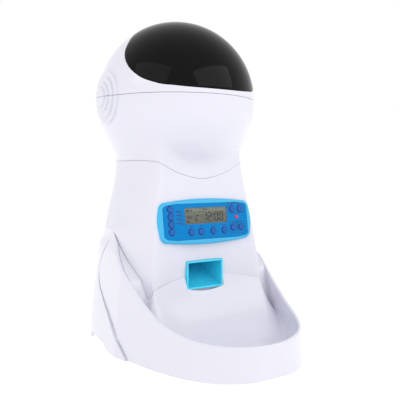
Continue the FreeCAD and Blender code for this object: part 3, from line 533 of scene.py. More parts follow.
def tray_mesh(rim, radius):
    """Half of the tray as one grid, mirrored.

    Columns run from the nose to the rear corner. Rows run from the body's surface across the bowl to the rim,
    over it, down the outside to the floor, up the inside of the skirt and back under the bowl. In the bowl
    the height is the larger of a fall away from the body's front and a rounded rise to the rim."""
    steps = 130
    swing = np.linspace(-math.pi / 2, 0.9, 400)
    z = np.full(400, 40.0)
    for _ in range(6):
        _, y = egg_point(swing, z)
        z = smooth_curve(RIM[::-1, 0], RIM[::-1, 1], -y)
    keep = y <= -8.0
    top_y, top_z = y[keep], z[keep]
    tail_z = np.linspace(WING_TOP - 0.4, 73, 60)
    rear = REAR_EDGE[::-1]
    top_y = np.concatenate([top_y, -smooth_curve(rear[:, 1], rear[:, 0], tail_z)])
    top_z = np.concatenate([top_z, tail_z])
    top_x = skin_half(top_y, top_z)
    length = np.concatenate([[0], np.cumsum(np.sqrt(np.diff(top_x) ** 2 + np.diff(top_y) ** 2
                                                    + np.diff(top_z) ** 2))])
    at = np.linspace(0, length[-1], steps)
    top_y, top_z = np.interp(at, length, top_y), np.interp(at, length, top_z)
    top_x = skin_half(top_y, top_z)
    top_x[0] = 0.0

    foot_y = np.where(top_y < -75, top_y, -75.0)
    first = int(np.argmax(top_y >= -75))
    climb_z = np.linspace(FOOT_Z, 73, 200)
    climb = np.stack([-smooth_curve(rear[:, 1], rear[:, 0], climb_z), climb_z], -1)
    climb = np.concatenate([[[-75.0, FOOT_Z]], climb])
    run = np.concatenate([[0], np.cumsum(np.linalg.norm(np.diff(climb, axis=0), axis=1))])
    where = np.linspace(0, run[-1], steps - first)
    foot_z = np.full(steps, FOOT_Z)
    foot_y[first:] = np.interp(where, run, climb[:, 0])
    foot_z[first:] = np.interp(where, run, climb[:, 1])

    # inward direction on plan, and the inside of the rim
    tangent = np.stack([np.gradient(top_x), np.gradient(top_y)], -1)
    tangent[0] = (1.0, 0.0)
    inward = np.stack([-tangent[:, 1], tangent[:, 0]], -1)
    inward /= np.maximum(np.linalg.norm(inward, axis=1, keepdims=True), 1e-9)
    outline = np.stack([top_x, top_y], -1)
    beside = top_y > -66
    room = np.where(beside, np.maximum(top_x - column_side(top_y, top_z) - TRAY_GAP, 0.3), 40.0)
    inward = np.where(beside[:, None], np.array([[-1.0, 0.0]]), inward)
    wall = np.minimum(rim, room * 0.9)
    inside = outline + inward * wall[:, None]

    # where each column starts, on the body
    ahead = int(np.argmax(top_y > -66))
    body_x = np.empty(steps)
    body_x[:ahead] = CREASE_X * np.linspace(0, 1, ahead) ** 0.9
    _, _, crease_x, crease_y, middle = column_half_sections(70.0)
    bow = (crease_y - middle) / crease_x ** 2
    body_y = -(middle + bow * body_x ** 2 + TRAY_GAP)
    body_z = WALL_TOP_MIDDLE - (WALL_TOP_MIDDLE - WALL_TOP_CREASE) * (body_x / CREASE_X) ** 2
    body_x[ahead:] = column_side(top_y[ahead:], top_z[ahead:]) + TRAY_GAP
    body_y[ahead:] = top_y[ahead:]
    settle = smooth_step(-66, -52, top_y[ahead:])
    body_z[ahead:] = WALL_TOP_CREASE * (1 - settle) + (top_z[ahead:] - 0.6) * settle
    slot_half = CHUTE_HALF + 0.5
    notched = body_x < slot_half
    notched[ahead:] = False
    body_y[notched] = -60.3
    body_z[notched] = 60.4

    share = np.sin(np.linspace(0, math.pi / 2, 46))[:, None]
    start = np.stack([body_x, body_y], -1)
    plan = start[None] * (1 - share[..., None]) + inside[None] * share[..., None]
    loop = np.concatenate([inside[::-1], inside[1:] * [-1, 1]])
    front_x = np.linspace(-CREASE_X, CREASE_X, 121)
    front = np.stack([front_x, -(middle + bow * front_x ** 2)], -1)
    flat = plan.reshape(-1, 2)
    to_wall = nearest(flat, loop).reshape(plan.shape[:2])
    to_body = nearest(flat, front).reshape(plan.shape[:2])
    fillet = radius - np.sqrt(np.maximum(radius ** 2 - np.maximum(radius - to_wall, 0) ** 2, 0))
    crown = WALL_TOP_MIDDLE - ((WALL_TOP_MIDDLE - WALL_TOP_CREASE)
                               * np.clip(np.abs(plan[..., 0]) / CREASE_X, 0, 1) ** 2)
    fall = (crown - FLOOR_Z) * np.exp(-np.maximum(to_body - TRAY_GAP, 0) / 17.0)
    height = FLOOR_Z + smooth_max(fillet, fall, 5.0)
    level = body_z[None] * (1 - share) + (top_z - 0.6)[None] * share
    wing = smooth_step(-70, -52, top_y)[None]
    height = height * (1 - wing) + level * wing
    limit = (top_z - 1.5)[None] + (1 - share) * 200
    height = np.where(wing > 0, height, np.minimum(height, limit))
    height[0, ahead:] = np.minimum(height[0, ahead:], body_z[ahead:] + 2)
    bowl = np.concatenate([plan, height[..., None]], -1)

    rim_round = np.minimum(rim / 2, wall / 2)
    centre = (outline + inside) / 2
    rows = [bowl]
    climb_share = np.linspace(0.15, 1, 7)[:, None]
    rise = height[-1] * (1 - climb_share) + (top_z - rim_round) * climb_share
    rows.append(np.concatenate([np.broadcast_to(inside, (7, steps, 2)), rise[..., None]], -1))
    for angle in np.linspace(math.pi, 0, 9)[1:]:
        step = centre + (outline - centre) * math.cos(angle)
        rows.append(np.concatenate([step, (top_z - rim_round + rim_round * math.sin(angle))[:, None]],
                                   -1)[None])
    drop = np.linspace(0, 1, 26)[1:, None]
    side_y = top_y * (1 - drop) + foot_y * drop
    side_z = (top_z - rim_round) * (1 - drop) + foot_z * drop
    side_x = skin_half(side_y, side_z)
    side_x[:, 0] = 0
    nose = side_y - EGG_MIDDLE * (1 - 0.0005 * side_z) < -EGG_NOSE[0] * (1 - 0.0005 * side_z)
    side_x = np.where(nose, 0, side_x)
    top_width = np.maximum(skin_half(top_y, top_z - rim_round), 1e-6)
    side_x = side_x * np.where(top_y < -100, top_x / top_width, 1.0)
    rows.append(np.stack([side_x, side_y, side_z], -1))
    # the underside: up the inside of the skirt, then back under the bowl to where the surface began
    room = np.where(side_y > -66, np.maximum(side_x - column_side(side_y, side_z) - TRAY_GAP, 0.3) * 0.9,
                    40.0)
    inner_x = side_x - np.minimum(side_x * 0.03, room)
    inner = np.stack([inner_x, EGG_MIDDLE + (side_y - EGG_MIDDLE) * 0.98, side_z], -1)[::-1]
    rows.append(inner[:-2])
    below = bowl[-4::-1].copy()
    below[..., 2] = np.maximum(below[..., 2] - TRAY_SHEET, np.minimum(below[..., 2], FOOT_Z + 1))
    rows += [below, bowl[:1]]
    grid = np.concatenate(rows)
    count, steps = grid.shape[:2]
    faces = quads(count, steps).tolist()
    faces.append([row * steps + steps - 1 for row in range(count - 1)])
    half = (grid.reshape(-1, 3), faces)
    mirrored = (half[0] * [-1, 1, 1], [face[::-1] for face in half[1]])
    return joined(half, mirrored)


def nearest(points, line):
    """Distance from each point to the closest of a line's short segments."""
    a, b = line[:-1], line[1:]
    along = b - a
    offset = points[:, None] - a[None]
    t = np.clip(np.sum(offset * along, -1) / np.maximum(np.sum(along * along, -1), 1e-12), 0, 1)
    return np.linalg.norm(offset - t[..., None] * along, axis=-1).min(axis=1)


# ---------------------------------------------------------------- panel and chute
PANEL_FACE, PANEL_HEIGHT = 58.3, 129.0
PANEL_LEAN = math.radians(9.0)
LEDGE, SHEET_TOP = 2.5, 4.1
BEZEL_SIZE = (110.0, 46.0, 40.0)
CHUTE_HALF, CHUTE_LOW, CHUTE_HIGH, CHUTE_FRONT = 21.5, 61.0, 89.5, 59.5


def on_panel(points):
    """From the panel's own across, up and out to the feeder's frame."""
    u, v, out = np.moveaxis(np.asarray(points, float), -1, 0)
    cos, sin = math.cos(PANEL_LEAN), math.sin(PANEL_LEAN)
    return np.stack([u, -PANEL_FACE + v * sin - out * cos, PANEL_HEIGHT + v * cos + out * sin], -1)


def panel_box(half_width, half_height, depth=20.0):
    """Corners of a box square to the panel and centred on it."""
    sides = ((-half_width, -half_height), (half_width, -half_height), (half_width, half_height),
             (-half_width, half_height))
    return on_panel([(u, v, out) for out in (-depth, depth) for u, v in sides])


def three_point_arc(a, b, c, count):
    """Points on the circle through a, b and c, from a up to c but without c."""
    a, b, c = (complex(*p) for p in (a, b, c))
    w = (c - a) / (b - a)
    centre = (b - a) * (w - abs(w) ** 2) / (2j * w.imag) + a if abs(w.imag) > 1e-9 else (a + c) / 2
    first, last = np.angle(a - centre), np.angle(c - centre)
    mid = np.angle(b - centre)
    sweep = (last - first) % TAU
    if (mid - first) % TAU > sweep:
        sweep -= TAU
    turn = first + sweep * np.arange(count) / count
    return np.stack([centre.real + abs(a - centre) * np.cos(turn),
                     centre.imag + abs(a - centre) * np.sin(turn)], -1)


def barrel_outline(shrink, per_arc=14):
    """The frame's outline: bowed long sides and ends between round corners."""
    length, height, end = BEZEL_SIZE
    a, e, m = length / 2 - shrink - 1.6, end / 2 - shrink, height / 2 - shrink
    r = 8.0 - shrink * 0.5
    k = r * (1 - math.sqrt(0.5))
    stops = [(-a + r, -e), (0, -m), (a - r, -e), (a - k, -e + k), (a, -e + r), (a + 1.6, 0), (a, e - r),
             (a - k, e - k),
             (a - r, e), (0, m), (-a + r, e), (-a + k, e - k), (-a, e - r), (-a - 1.6, 0), (-a, -e + r),
             (-a + k, -e + k)]
    arcs = [three_point_arc(stops[n], stops[n + 1], stops[(n + 2) % 16], per_arc) for n in range(0, 16, 2)]
    return np.concatenate(arcs)


def rounded_rectangle(width, height, radius, per_arc=14):
    """The same count of points as the barrel outline: straight sides between quarter-circle corners."""
    a, b = width / 2, height / 2
    share = np.arange(per_arc)[:, None] / per_arc
    sides = []
    ends = [((-a + radius, -b), (a - radius, -b)), ((a, -b + radius), (a, b - radius)),
            ((a - radius, b), (-a + radius, b)), ((-a, b - radius), (-a, -b + radius))]
    middles = [(a - radius, -b + radius), (a - radius, b - radius), (-a + radius, b - radius),
               (-a + radius, -b + radius)]
    for number, ((p, q), (cx, cy)) in enumerate(zip(ends, middles)):
        p, q = np.array(p), np.array(q)
        sides.append(p + (q - p) * share)
        turn = (number - 1) * math.pi / 2 + share * math.pi / 2
        sides.append(np.concatenate([cx + radius * np.cos(turn), cy + radius * np.sin(turn)], 1))
    return np.concatenate(sides)


def raised(outline, out):
    return np.concatenate([outline, np.full((len(outline), 1), float(out))], 1)


def bezel_mesh():
    """A rounded frame: rows climb the outside, cross the face and drop to the overlay's seat."""
    seat = (99.0, 35.8)
    rows = [raised(barrel_outline(0.6), -5.0), raised(barrel_outline(0.0), -1.0),
            raised(barrel_outline(0.0), 1.6),
            raised(barrel_outline(0.25), 2.9), raised(barrel_outline(0.9), 3.9),
            raised(barrel_outline(1.9), 4.4),
            raised(barrel_outline(3.0), 4.5)]
    near_seat = rounded_rectangle(seat[0] + 1.2, seat[1] + 1.2, 2.6)
    rows += [raised(near_seat, 4.45), raised(rounded_rectangle(seat[0] + 0.4, seat[1] + 0.4, 2.2), 4.3),
             raised(rounded_rectangle(*seat, 2.0), 3.9), raised(rounded_rectangle(*seat, 2.0), LEDGE + 0.1),
             raised(rounded_rectangle(seat[0] - 2.4, seat[1] - 1.2, 1.5), LEDGE),
             raised(rounded_rectangle(seat[0] - 2.4, seat[1] - 1.2, 1.5), -5.0)]
    rows.append(rows[0])
    grid = np.stack(rows)
    return on_panel(grid).reshape(-1, 3), quads(len(rows), grid.shape[1], True)


def bar(u, v, width, height, low=SHEET_TOP - 0.02, high=SHEET_TOP + 0.06):
    """A small flat printed bar on the overlay."""
    corners = np.array([(-1, -1), (1, -1), (1, 1), (-1, 1)]) * [width / 2, height / 2] + [u, v]
    points = np.concatenate([raised(corners, low), raised(corners, high)])
    return points, [(3, 2, 1, 0), (4, 5, 6, 7), (0, 1, 5, 4), (1, 2, 6, 5), (2, 3, 7, 6), (3, 0, 4, 7)]


def key_cap_mesh(u, v, radius):
    """A round key turned about its own axis: flange, straight side, rolled edge and a faintly dished top."""
    profile = [(0, 1.3), (3.5, 1.3), (3.5, 2.1), (radius, 2.1), (radius, 4.6), (radius - 0.12, 4.95),
               (radius - 0.42, 5.15),
               (radius - 0.9, 5.2), (radius * 0.4, 5.08), (0, 5.04)]
    profile = np.array(profile)
    turn = np.arange(40) / 40 * TAU
    grid = np.stack([u + profile[:, :1] * np.cos(turn), v + profile[:, :1] * np.sin(turn),
                     np.broadcast_to(profile[:, 1:], (len(profile), 40))], -1)
    return on_panel(grid).reshape(-1, 3), quads(len(profile), 40, True)


KEYS = {
    "meal_key_1": (-41.0, 12.8), "meal_key_2": (-41.0, 5.4), "meal_key_3": (-41.0, -2.0),
    "meal_key_4": (-41.0, -9.4),
    "set_key_1": (-19.0, -10.4), "set_key_2": (-7.6, -10.4), "set_key_3": (6.8, -10.4),
    "set_key_4": (20.2, -10.4),
    "record_key": (31.6, 11.0), "play_key": (41.0, 11.0), "feed_key": (31.6, -8.0), "enter_key": (41.0, -8.0),
}


def gap_shade_ring(u, v, radius, width):
    """A dark ring on the overlay hugging a key's edge: painted shade of the gap round the key."""
    turn = np.arange(36) / 36 * TAU
    rows = [(radius, SHEET_TOP - 0.02), (radius + width, SHEET_TOP - 0.02),
            (radius + width, SHEET_TOP + 0.06),
            (radius, SHEET_TOP + 0.06), (radius, SHEET_TOP - 0.02)]
    grid = np.stack([np.stack([u + r * np.cos(turn), v + r * np.sin(turn), np.full(36, z)], -1) for r,
                     z in rows])
    return grid.reshape(-1, 3), quads(5, 36, True)


def outline_mark(u, v, width, height, line):
    """A printed rounded box drawn as a thin line."""
    outer, inner = rounded_rectangle(width, height, 2.0, 8), rounded_rectangle(width - 2 * line,
                                                                               height - 2 * line, 1.4, 8)
    low, high = SHEET_TOP - 0.02, SHEET_TOP + 0.06
    rows = np.stack([raised(outer, low), raised(outer, high), raised(inner, high), raised(inner, low),
                     raised(outer, low)])
    return (rows + [u, v, 0]).reshape(-1, 3), quads(5, rows.shape[1], True)


def print_and_key_shade_marks():
    """Generic bars beside the keys, a dark ring of painted shade round each, and the two boxes of the
    right-hand keys.
    """
    # The rings round the keys are painted shade of the gaps at the keys' edges, drawn in the print's dark
    # blue.
    marks = [gap_shade_ring(u, v, 3.35, 0.45) for u, v in KEYS.values()]
    for row, v in enumerate((10.6, 6.8, 3.0, -0.8)):
        marks += [bar(-31.6, v, 7.4, 0.9), bar(-31.0 + row * 0.4, v - 1.5, 5.0, 0.5)]
    for u in (-19.0, -7.6, 6.8, 20.2):
        marks.append(bar(u + 0.4, -4.9, 4.6, 0.7))
    marks += [bar(31.6, 15.9, 5.2, 0.8), bar(41.0, 15.9, 5.2, 0.8), bar(33.0, -2.4, 2.6, 0.7),
              bar(41.0, -2.2, 4.4, 0.7)]
    marks += [outline_mark(36.3, 12.0, 20.6, 11.4, 0.7), outline_mark(31.6, -8.4, 8.8, 11.0, 0.5),
              outline_mark(41.0, -8.4, 8.6, 12.6, 0.5)]
    return marks


SEGMENTS = {"0": "abcdef", "1": "bc", "2": "abged"}


def digit_bars(figure, u, v, width, height):
    """The lit bars of a seven-bar figure."""
    thick = 0.95
    places = {"a": (0, 1, 1), "g": (0, 0, 1), "d": (0, -1, 1), "f": (-1, 0.5, 0), "b": (1, 0.5, 0),
              "e": (-1, -0.5, 0),
              "c": (1, -0.5, 0)}
    bars = []
    for name in SEGMENTS[figure]:
        across, up, lying = places[name]
        size = (width - thick * 1.3, thick) if lying else (thick, height / 2 - thick * 0.9)
        bars.append(bar(u + across * width / 2, v + up * height / 2, *size))
    return bars


def clock_bars(u, v):
    """Generic digits and small marks of the display."""
    bars = []
    for figure, place in zip("1200", (-2.2, 3.6, 11.4, 17.4)):
        bars += digit_bars(figure, u + place, v - 1.2, 4.0, 8.6)
    bars += [bar(u + 7.5, v + 0.6, 0.9, 0.9), bar(u + 7.5, v - 3.0, 0.9, 0.9)]
    bars += [bar(u - 22.0, v + 5.4, 2.4, 1.6), bar(u - 17.6, v + 5.4, 1.6, 1.6),
             bar(u - 1.0, v + 6.3, 4.2, 0.8),
             bar(u - 19.5, v - 0.6, 5.2, 0.5), bar(u - 19.5, v - 2.2, 4.2, 0.5),
             bar(u - 12.4, v - 3.4, 0.9, 3.6),
             bar(u - 10.6, v + 0.4, 2.8, 0.8), bar(u - 21.6, v - 5.6, 2.2, 1.5)]
    return bars


def chute_mesh():
    """A rectangular funnel: rounded rectangles from the back, over the lip and down the sloping inside."""
    wide, lip = 2 * CHUTE_HALF, 1.9
    stations = [(50.0, CHUTE_LOW + 0.2, CHUTE_HIGH - 0.2, wide - 0.4, 1.2),
                (CHUTE_FRONT - 0.5, CHUTE_LOW, CHUTE_HIGH, wide, 1.2),
                (CHUTE_FRONT - 0.1, CHUTE_LOW + 0.2, CHUTE_HIGH - 0.2, wide - 0.4, 1.2),
                (CHUTE_FRONT, CHUTE_LOW + 0.6, CHUTE_HIGH - 0.6, wide - 1.2, 1.0),
                (CHUTE_FRONT - 0.1, CHUTE_LOW + lip - 0.5, CHUTE_HIGH - lip + 0.5, wide - 2 * lip + 1.0, 1.0),
                (CHUTE_FRONT - 0.6, CHUTE_LOW + lip, CHUTE_HIGH - lip, wide - 2 * lip, 0.9),
                (54.0, CHUTE_LOW + lip + 0.2, CHUTE_HIGH - lip, wide - 2 * lip, 0.9),
                (20.0, 78.4, 97.3, wide - 2 * lip, 0.9), (7.0, 84.2, 100.4, wide - 2 * lip, 0.9),
                (-16.0, 94.6, 100.4, wide - 2 * lip, 0.9), (-16.6, 96.0, 98.0, wide - 8 * lip, 0.4)]
    rows = []
    for forward, low, high, width, radius in stations:
        outline = rounded_rectangle(width, high - low, radius, 6)
        rows.append(np.stack([outline[:, 0], np.full(len(outline), -forward),
                              outline[:, 1] + (low + high) / 2], -1))
    grid = np.stack(rows)
    count = grid.shape[1]
    faces = quads(len(rows), count, True).tolist() + [list(range((len(rows) - 1) * count, len(rows) * count))]
    return grid.reshape(-1, 3), faces


# ---------------------------------------------------------------- finishes
def new_material(name, color, roughness, constants):
    """A Principled material; whatever is the same all over is set on the shader's own sockets."""
    material = bpy.data.materials.new(name)
    material.use_nodes = True
    shader = material.node_tree.nodes["Principled BSDF"]
    shader.inputs["Base Color"].default_value = (*color, 1)
    shader.inputs["Roughness"].default_value = roughness
    for socket, value in constants.items():
        shader.inputs[socket].default_value = value
    return material, material.node_tree, shader


def noise(tree, scale, detail=2.0, stretch=(1, 1, 1)):
    """Noise read over Object coordinates, stretched by a Mapping node."""
    coords = tree.nodes.new("ShaderNodeTexCoord")
    mapping = tree.nodes.new("ShaderNodeMapping")
    mapping.inputs["Scale"].default_value = stretch
    texture = tree.nodes.new("ShaderNodeTexNoise")
    texture.inputs["Scale"].default_value = scale
    texture.inputs["Detail"].default_value = detail
    tree.links.new(coords.outputs["Object"], mapping.inputs["Vector"])
    tree.links.new(mapping.outputs["Vector"], texture.inputs["Vector"])
    return texture.outputs["Fac"]


def ranged(tree, value, low, high):
    """The middle of a noise spread from low to high."""
    node = tree.nodes.new("ShaderNodeMapRange")
    node.inputs["From Min"].default_value = 0.3
    node.inputs["From Max"].default_value = 0.7
    node.inputs["To Min"].default_value = low
    node.inputs["To Max"].default_value = high
    tree.links.new(value, node.inputs["Value"])
    return node.outputs["Result"]


def ramped(tree, value, stops):
    """A colour ramp over a value, given as (position, colour) stops."""
    node = tree.nodes.new("ShaderNodeValToRGB")
    ramp = node.color_ramp
    ramp.elements[0].position, ramp.elements[1].position = stops[0][0], stops[-1][0]
    ramp.elements[0].color, ramp.elements[1].color = (*stops[0][1], 1), (*stops[-1][1], 1)
    for position, color in stops[1:-1]:
        ramp.elements.new(position).color = (*color, 1)
    tree.links.new(value, node.inputs["Fac"])
    return node.outputs["Color"]


def bumped(tree, shader, height, depth, distance=0.0004):
    node = tree.nodes.new("ShaderNodeBump")
    node.inputs["Strength"].default_value = depth
    node.inputs["Distance"].default_value = distance
    tree.links.new(height, node.inputs["Height"])
    tree.links.new(node.outputs["Normal"], shader.inputs["Normal"])


def moulded(name, color, roughness, spread, shade, grain, depth, constants=None):
    """Moulded plastic: slow shifts of colour and gloss as the melt flowed, and a fine surface grain."""
    material, tree, shader = new_material(name, color, roughness, constants or {})
    flow = noise(tree, 14.0, 3.0)
    dark = tuple(c * (1 - shade) for c in color)
    light = tuple(min(1.0, c * (1 + shade)) for c in color)
    tree.links.new(ramped(tree, flow, [(0.35, dark), (0.65, light)]), shader.inputs["Base Color"])
    smears = noise(tree, 60.0, 4.0)
    tree.links.new(ranged(tree, smears, roughness - spread, roughness + spread), shader.inputs["Roughness"])
    bumped(tree, shader, noise(tree, grain, 2.0), depth)
    return material


def shell_white(name):
    return moulded(name, tuple(bpy.context.scene.feeder_finish.shell), 0.2, 0.05, 0.008, 500.0, 0.02,
                   {"Coat Weight": 0.25, "Coat Roughness": 0.06})


def inner_white(name):
    return moulded(name, (0.72, 0.72, 0.75), 0.5, 0.06, 0.02, 1400.0, 0.12)


def visor_black(name):
    return moulded(name, (0.0035, 0.0035, 0.004), 0.05, 0.012, 0.1, 120.0, 0.004, {"Specular IOR Level": 0.1})


def bezel_blue(name):
    return moulded(name, tuple(bpy.context.scene.feeder_finish.bezel), 0.3, 0.05, 0.03, 1100.0, 0.03,
                   {"Specular IOR Level": 0.15})


def overlay_blue(name):
    return moulded(name, tuple(bpy.context.scene.feeder_finish.overlay), 0.42, 0.06, 0.04, 2600.0, 0.05,
                   {"Specular IOR Level": 0.08})


# The panel's dark blue print; it also colours the painted shade rings round the keys.
def printed_blue(name):
    return moulded(name, (0.003, 0.04, 0.2), 0.45, 0.05, 0.06, 2600.0, 0.05)


def key_blue(name):
    return moulded(name, tuple(bpy.context.scene.feeder_finish.keys), 0.2, 0.04, 0.05, 1800.0, 0.04,
                   {"Specular IOR Level": 0.3})


def chute_blue(name):
    return moulded(name, tuple(bpy.context.scene.feeder_finish.chute), 0.28, 0.06, 0.04, 900.0, 0.05,
                   {"Coat Weight": 0.15})


def display_film(name):
    """Grey-green film with the faint upright lines of its electrodes."""
    material, tree, shader = new_material(name, (0.17, 0.185, 0.13), 0.45, {"Specular IOR Level": 0.2})
    lines = noise(tree, 400.0, 1.0, (6.0, 0.2, 0.2))
    tree.links.new(ramped(tree, lines, [(0.3, (0.15, 0.163, 0.115)), (0.7, (0.18, 0.194, 0.14))]),
                   shader.inputs["Base Color"])
    tree.links.new(ranged(tree, noise(tree, 90.0, 3.0), 0.32, 0.46), shader.inputs["Roughness"])
    return material


def display_ink(name):
    return moulded(name, (0.022, 0.024, 0.02), 0.5, 0.05, 0.2, 1500.0, 0.03)


def clear_window(name):
    material, tree, shader = new_material(name, (0.75, 0.78, 0.74), 0.06, {"Alpha": 0.09, "IOR": 1.49})
    tree.links.new(ranged(tree, noise(tree, 150.0, 3.0), 0.03, 0.11), shader.inputs["Roughness"])
    return material


def rubber(name, color):
    return moulded(name, color, 0.78, 0.08, 0.12, 2200.0, 0.35, {"Sheen Weight": 0.15})


def circuit_green(name):
    """Solder mask with lighter copper tracks under it, laid out in offset blocks."""
    material, tree, shader = new_material(name, (0.02, 0.16, 0.06), 0.35, {"Coat Weight": 0.3})
    coords = tree.nodes.new("ShaderNodeTexCoord")
    tracks = tree.nodes.new("ShaderNodeTexBrick")
    for socket, value in (("Color1", (0.012, 0.13, 0.05, 1)), ("Color2", (0.016, 0.16, 0.06, 1)),
                          ("Mortar", (0.05, 0.3, 0.1, 1)),
                          ("Scale", 1.0), ("Mortar Size", 0.0004), ("Brick Width", 0.012),
                          ("Row Height", 0.004)):
        tracks.inputs[socket].default_value = value
    tree.links.new(coords.outputs["Object"], tracks.inputs["Vector"])
    tree.links.new(tracks.outputs["Color"], shader.inputs["Base Color"])
    tree.links.new(ranged(tree, noise(tree, 200.0), 0.28, 0.45), shader.inputs["Roughness"])
    return material


def glowing_red(name):
    material, tree, shader = new_material(name, (0.7, 0.01, 0.06), 0.15,
                                          {"Emission Color": (1.0, 0.02, 0.12, 1),
                                                                         "Emission Strength": 0.35})
    tree.links.new(ramped(tree, noise(tree, 700.0), [(0.3, (0.55, 0.01, 0.05)), (0.7, (0.8, 0.02, 0.09))]),
                   shader.inputs["Base Color"])
    return material


def drawn_metal(name, color, roughness):
    """Bare metal with fine marks along the direction it was drawn in."""
    material, tree, shader = new_material(name, color, roughness, {"Metallic": 1.0})
    marks = noise(tree, 500.0, 3.0, (0.1, 2.0, 2.0))
    tree.links.new(ranged(tree, marks, roughness - 0.1, roughness + 0.12), shader.inputs["Roughness"])
    bumped(tree, shader, marks, 0.08)
    return material


def cell_wrap(name):
    """A dark wrap with a copper-coloured band at each cell's front end."""
    material, tree, shader = new_material(name, (0.02, 0.02, 0.025), 0.3, {"Coat Weight": 0.4})
    coords = tree.nodes.new("ShaderNodeTexCoord")
    split = tree.nodes.new("ShaderNodeSeparateXYZ")
    span = tree.nodes.new("ShaderNodeMapRange")
    low, high = BOX["battery_cells"][:, 1] * MM
    span.inputs["From Min"].default_value = low
    span.inputs["From Max"].default_value = high
    tree.links.new(coords.outputs["Object"], split.inputs["Vector"])
    tree.links.new(split.outputs["Y"], span.inputs["Value"])
    bands = [(0.0, (0.55, 0.22, 0.06)), (0.26, (0.55, 0.22, 0.06)), (0.28, (0.02, 0.02, 0.025)),
             (1.0, (0.03, 0.03, 0.035))]
    tree.links.new(ramped(tree, span.outputs["Result"], bands), shader.inputs["Base Color"])
    tree.links.new(ranged(tree, noise(tree, 90.0), 0.22, 0.4), shader.inputs["Roughness"])
    return material


FINISHES = {
    "white_plastic": shell_white, "white_inner": inner_white, "black_gloss": visor_black,
    "sky_blue": bezel_blue,
    "panel_blue": overlay_blue, "chute_blue": chute_blue, "key_blue": key_blue, "lens": clear_window,
    "lcd_grey": display_film, "board_green": circuit_green, "red_led": glowing_red, "cell_jacket": cell_wrap,
    "printed_blue": printed_blue, "display_ink": display_ink,
    "grey_rubber": lambda name: rubber(name, (0.1, 0.1, 0.11)),
    "black_rubber": lambda name: rubber(name, (0.012, 0.012, 0.012)),
    "chip_black": lambda name: moulded(name, (0.012, 0.012, 0.013), 0.55, 0.08, 0.2, 1800.0, 0.15),
    "smoke": lambda name: moulded(name, (0.03, 0.012, 0.014), 0.12, 0.03, 0.1, 600.0, 0.02,
                                  {"Coat Weight": 0.5}),
    "gear_white": lambda name: moulded(name, (0.7, 0.69, 0.64), 0.42, 0.06, 0.03, 1500.0, 0.08),
    "steel": lambda name: drawn_metal(name, (0.56, 0.57, 0.58), 0.3),
    "contact_metal": lambda name: drawn_metal(name, (0.75, 0.6, 0.33), 0.28),
}


MADE = {}


def finish(slot):
    """The material of a slot, made in place of the plain one the first time that it is asked for."""
    if slot not in MADE:
        plain = bpy.data.materials.get(slot)
        if plain is not None:
            plain.name = "plain_" + slot
        MADE[slot] = FINISHES[slot](slot)
    return MADE[slot]


# ---------------------------------------------------------------- what a user would change
class FeederSizes(bpy.types.PropertyGroup):
    """Sizes that the shapes are worked out from"""

    skin: FloatProperty(name="Skin", description="Wall of the white housings", default=0.0026, unit="LENGTH")
    fillet: FloatProperty(name="Bowl fillet", description="Radius between the bowl's floor and wall",
                          default=0.017,
                          unit="LENGTH")
    rim: FloatProperty(name="Tray wall", description="Thickness of the tray's rolled rim", default=0.0036,
                       unit="LENGTH")
    key: FloatProperty(name="Key radius", description="Radius of a round key's cap", default=0.003,
                       unit="LENGTH")


class FeederFinish(bpy.types.PropertyGroup):
    """Colours of the outside"""

    shell: FloatVectorProperty(name="Shell", description="Colour of the white housings", subtype="COLOR",
                               size=3,
                               default=(0.71, 0.705, 0.79))
    bezel: FloatVectorProperty(name="Bezel", description="Colour of the panel's frame", subtype="COLOR",
                               size=3,
                               default=(0.07, 0.45, 0.74))
    overlay: FloatVectorProperty(name="Overlay", description="Colour of the panel's face",
                                 subtype="COLOR", size=3,
                                 default=(0.002, 0.2, 0.53))
    keys: FloatVectorProperty(name="Keys", description="Colour of the keys", subtype="COLOR", size=3,
                              default=(0.008, 0.11, 0.42))
    chute: FloatVectorProperty(name="Chute", description="Colour of the food chute", subtype="COLOR", size=3,
                               default=(0.06, 0.72, 0.95))


class FeederStage(bpy.types.PropertyGroup):
    """Camera, lights and floor"""

    place: FloatVectorProperty(name="Camera place",
                               description="Where the camera stands, from the column's axis", size=3,
                               subtype="TRANSLATION", unit="LENGTH", default=(-0.3, -0.5383, 0.1811))
    turn: FloatProperty(name="Turn", description="Angle of the view from straight ahead", subtype="ANGLE",
                        default=math.radians(31.5))
    tilt: FloatProperty(name="Tilt", description="Angle of the view below level", subtype="ANGLE",
                        default=math.radians(3.1))
    lens: FloatProperty(name="Lens", description="Focal length in millimetres", default=50.5)
    sky: FloatProperty(name="Surround", description="Brightness of the white surround", default=1.0)
    ceiling: FloatProperty(name="Ceiling", description="Brightness of the surround overhead", default=0.92)
    lamps: FloatProperty(name="Lamps", description="Brightness of the soft boxes", default=1.0)


# ---------------------------------------------------------------- operators
class FEEDER_OT_head(bpy.types.Operator):
    """Head below its seam, with the lower halves of the side bosses"""

    bl_idname = "feeder.head"
    bl_label = "Head"

    def execute(self, context):
        points, faces = joined(head_mesh(context.scene.feeder_sizes.skin / MM), ear_mesh(-1, False),
                               ear_mesh(1, False))
        new_piece("head_shell", points, faces, "housing", ["head_housing"], finish("white_plastic"),
                  "white_plastic")
        return {"FINISHED"}


class FEEDER_OT_lid(bpy.types.Operator):
    """Lid with the upper halves of the side bosses, and the black visor let into it"""

    bl_idname = "feeder.lid"
    bl_label = "Lid and visor"

    def execute(self, context):
        points, faces = joined(lid_mesh(), ear_mesh(-1, True), ear_mesh(1, True))
        new_piece("lid_dome", points, faces, "lid", ["lid_shell"], finish("white_plastic"), "white_plastic")
        new_piece("visor", *visor_mesh(), "lid", ["lid_visor"], finish("black_gloss"), "black_gloss")
        return {"FINISHED"}


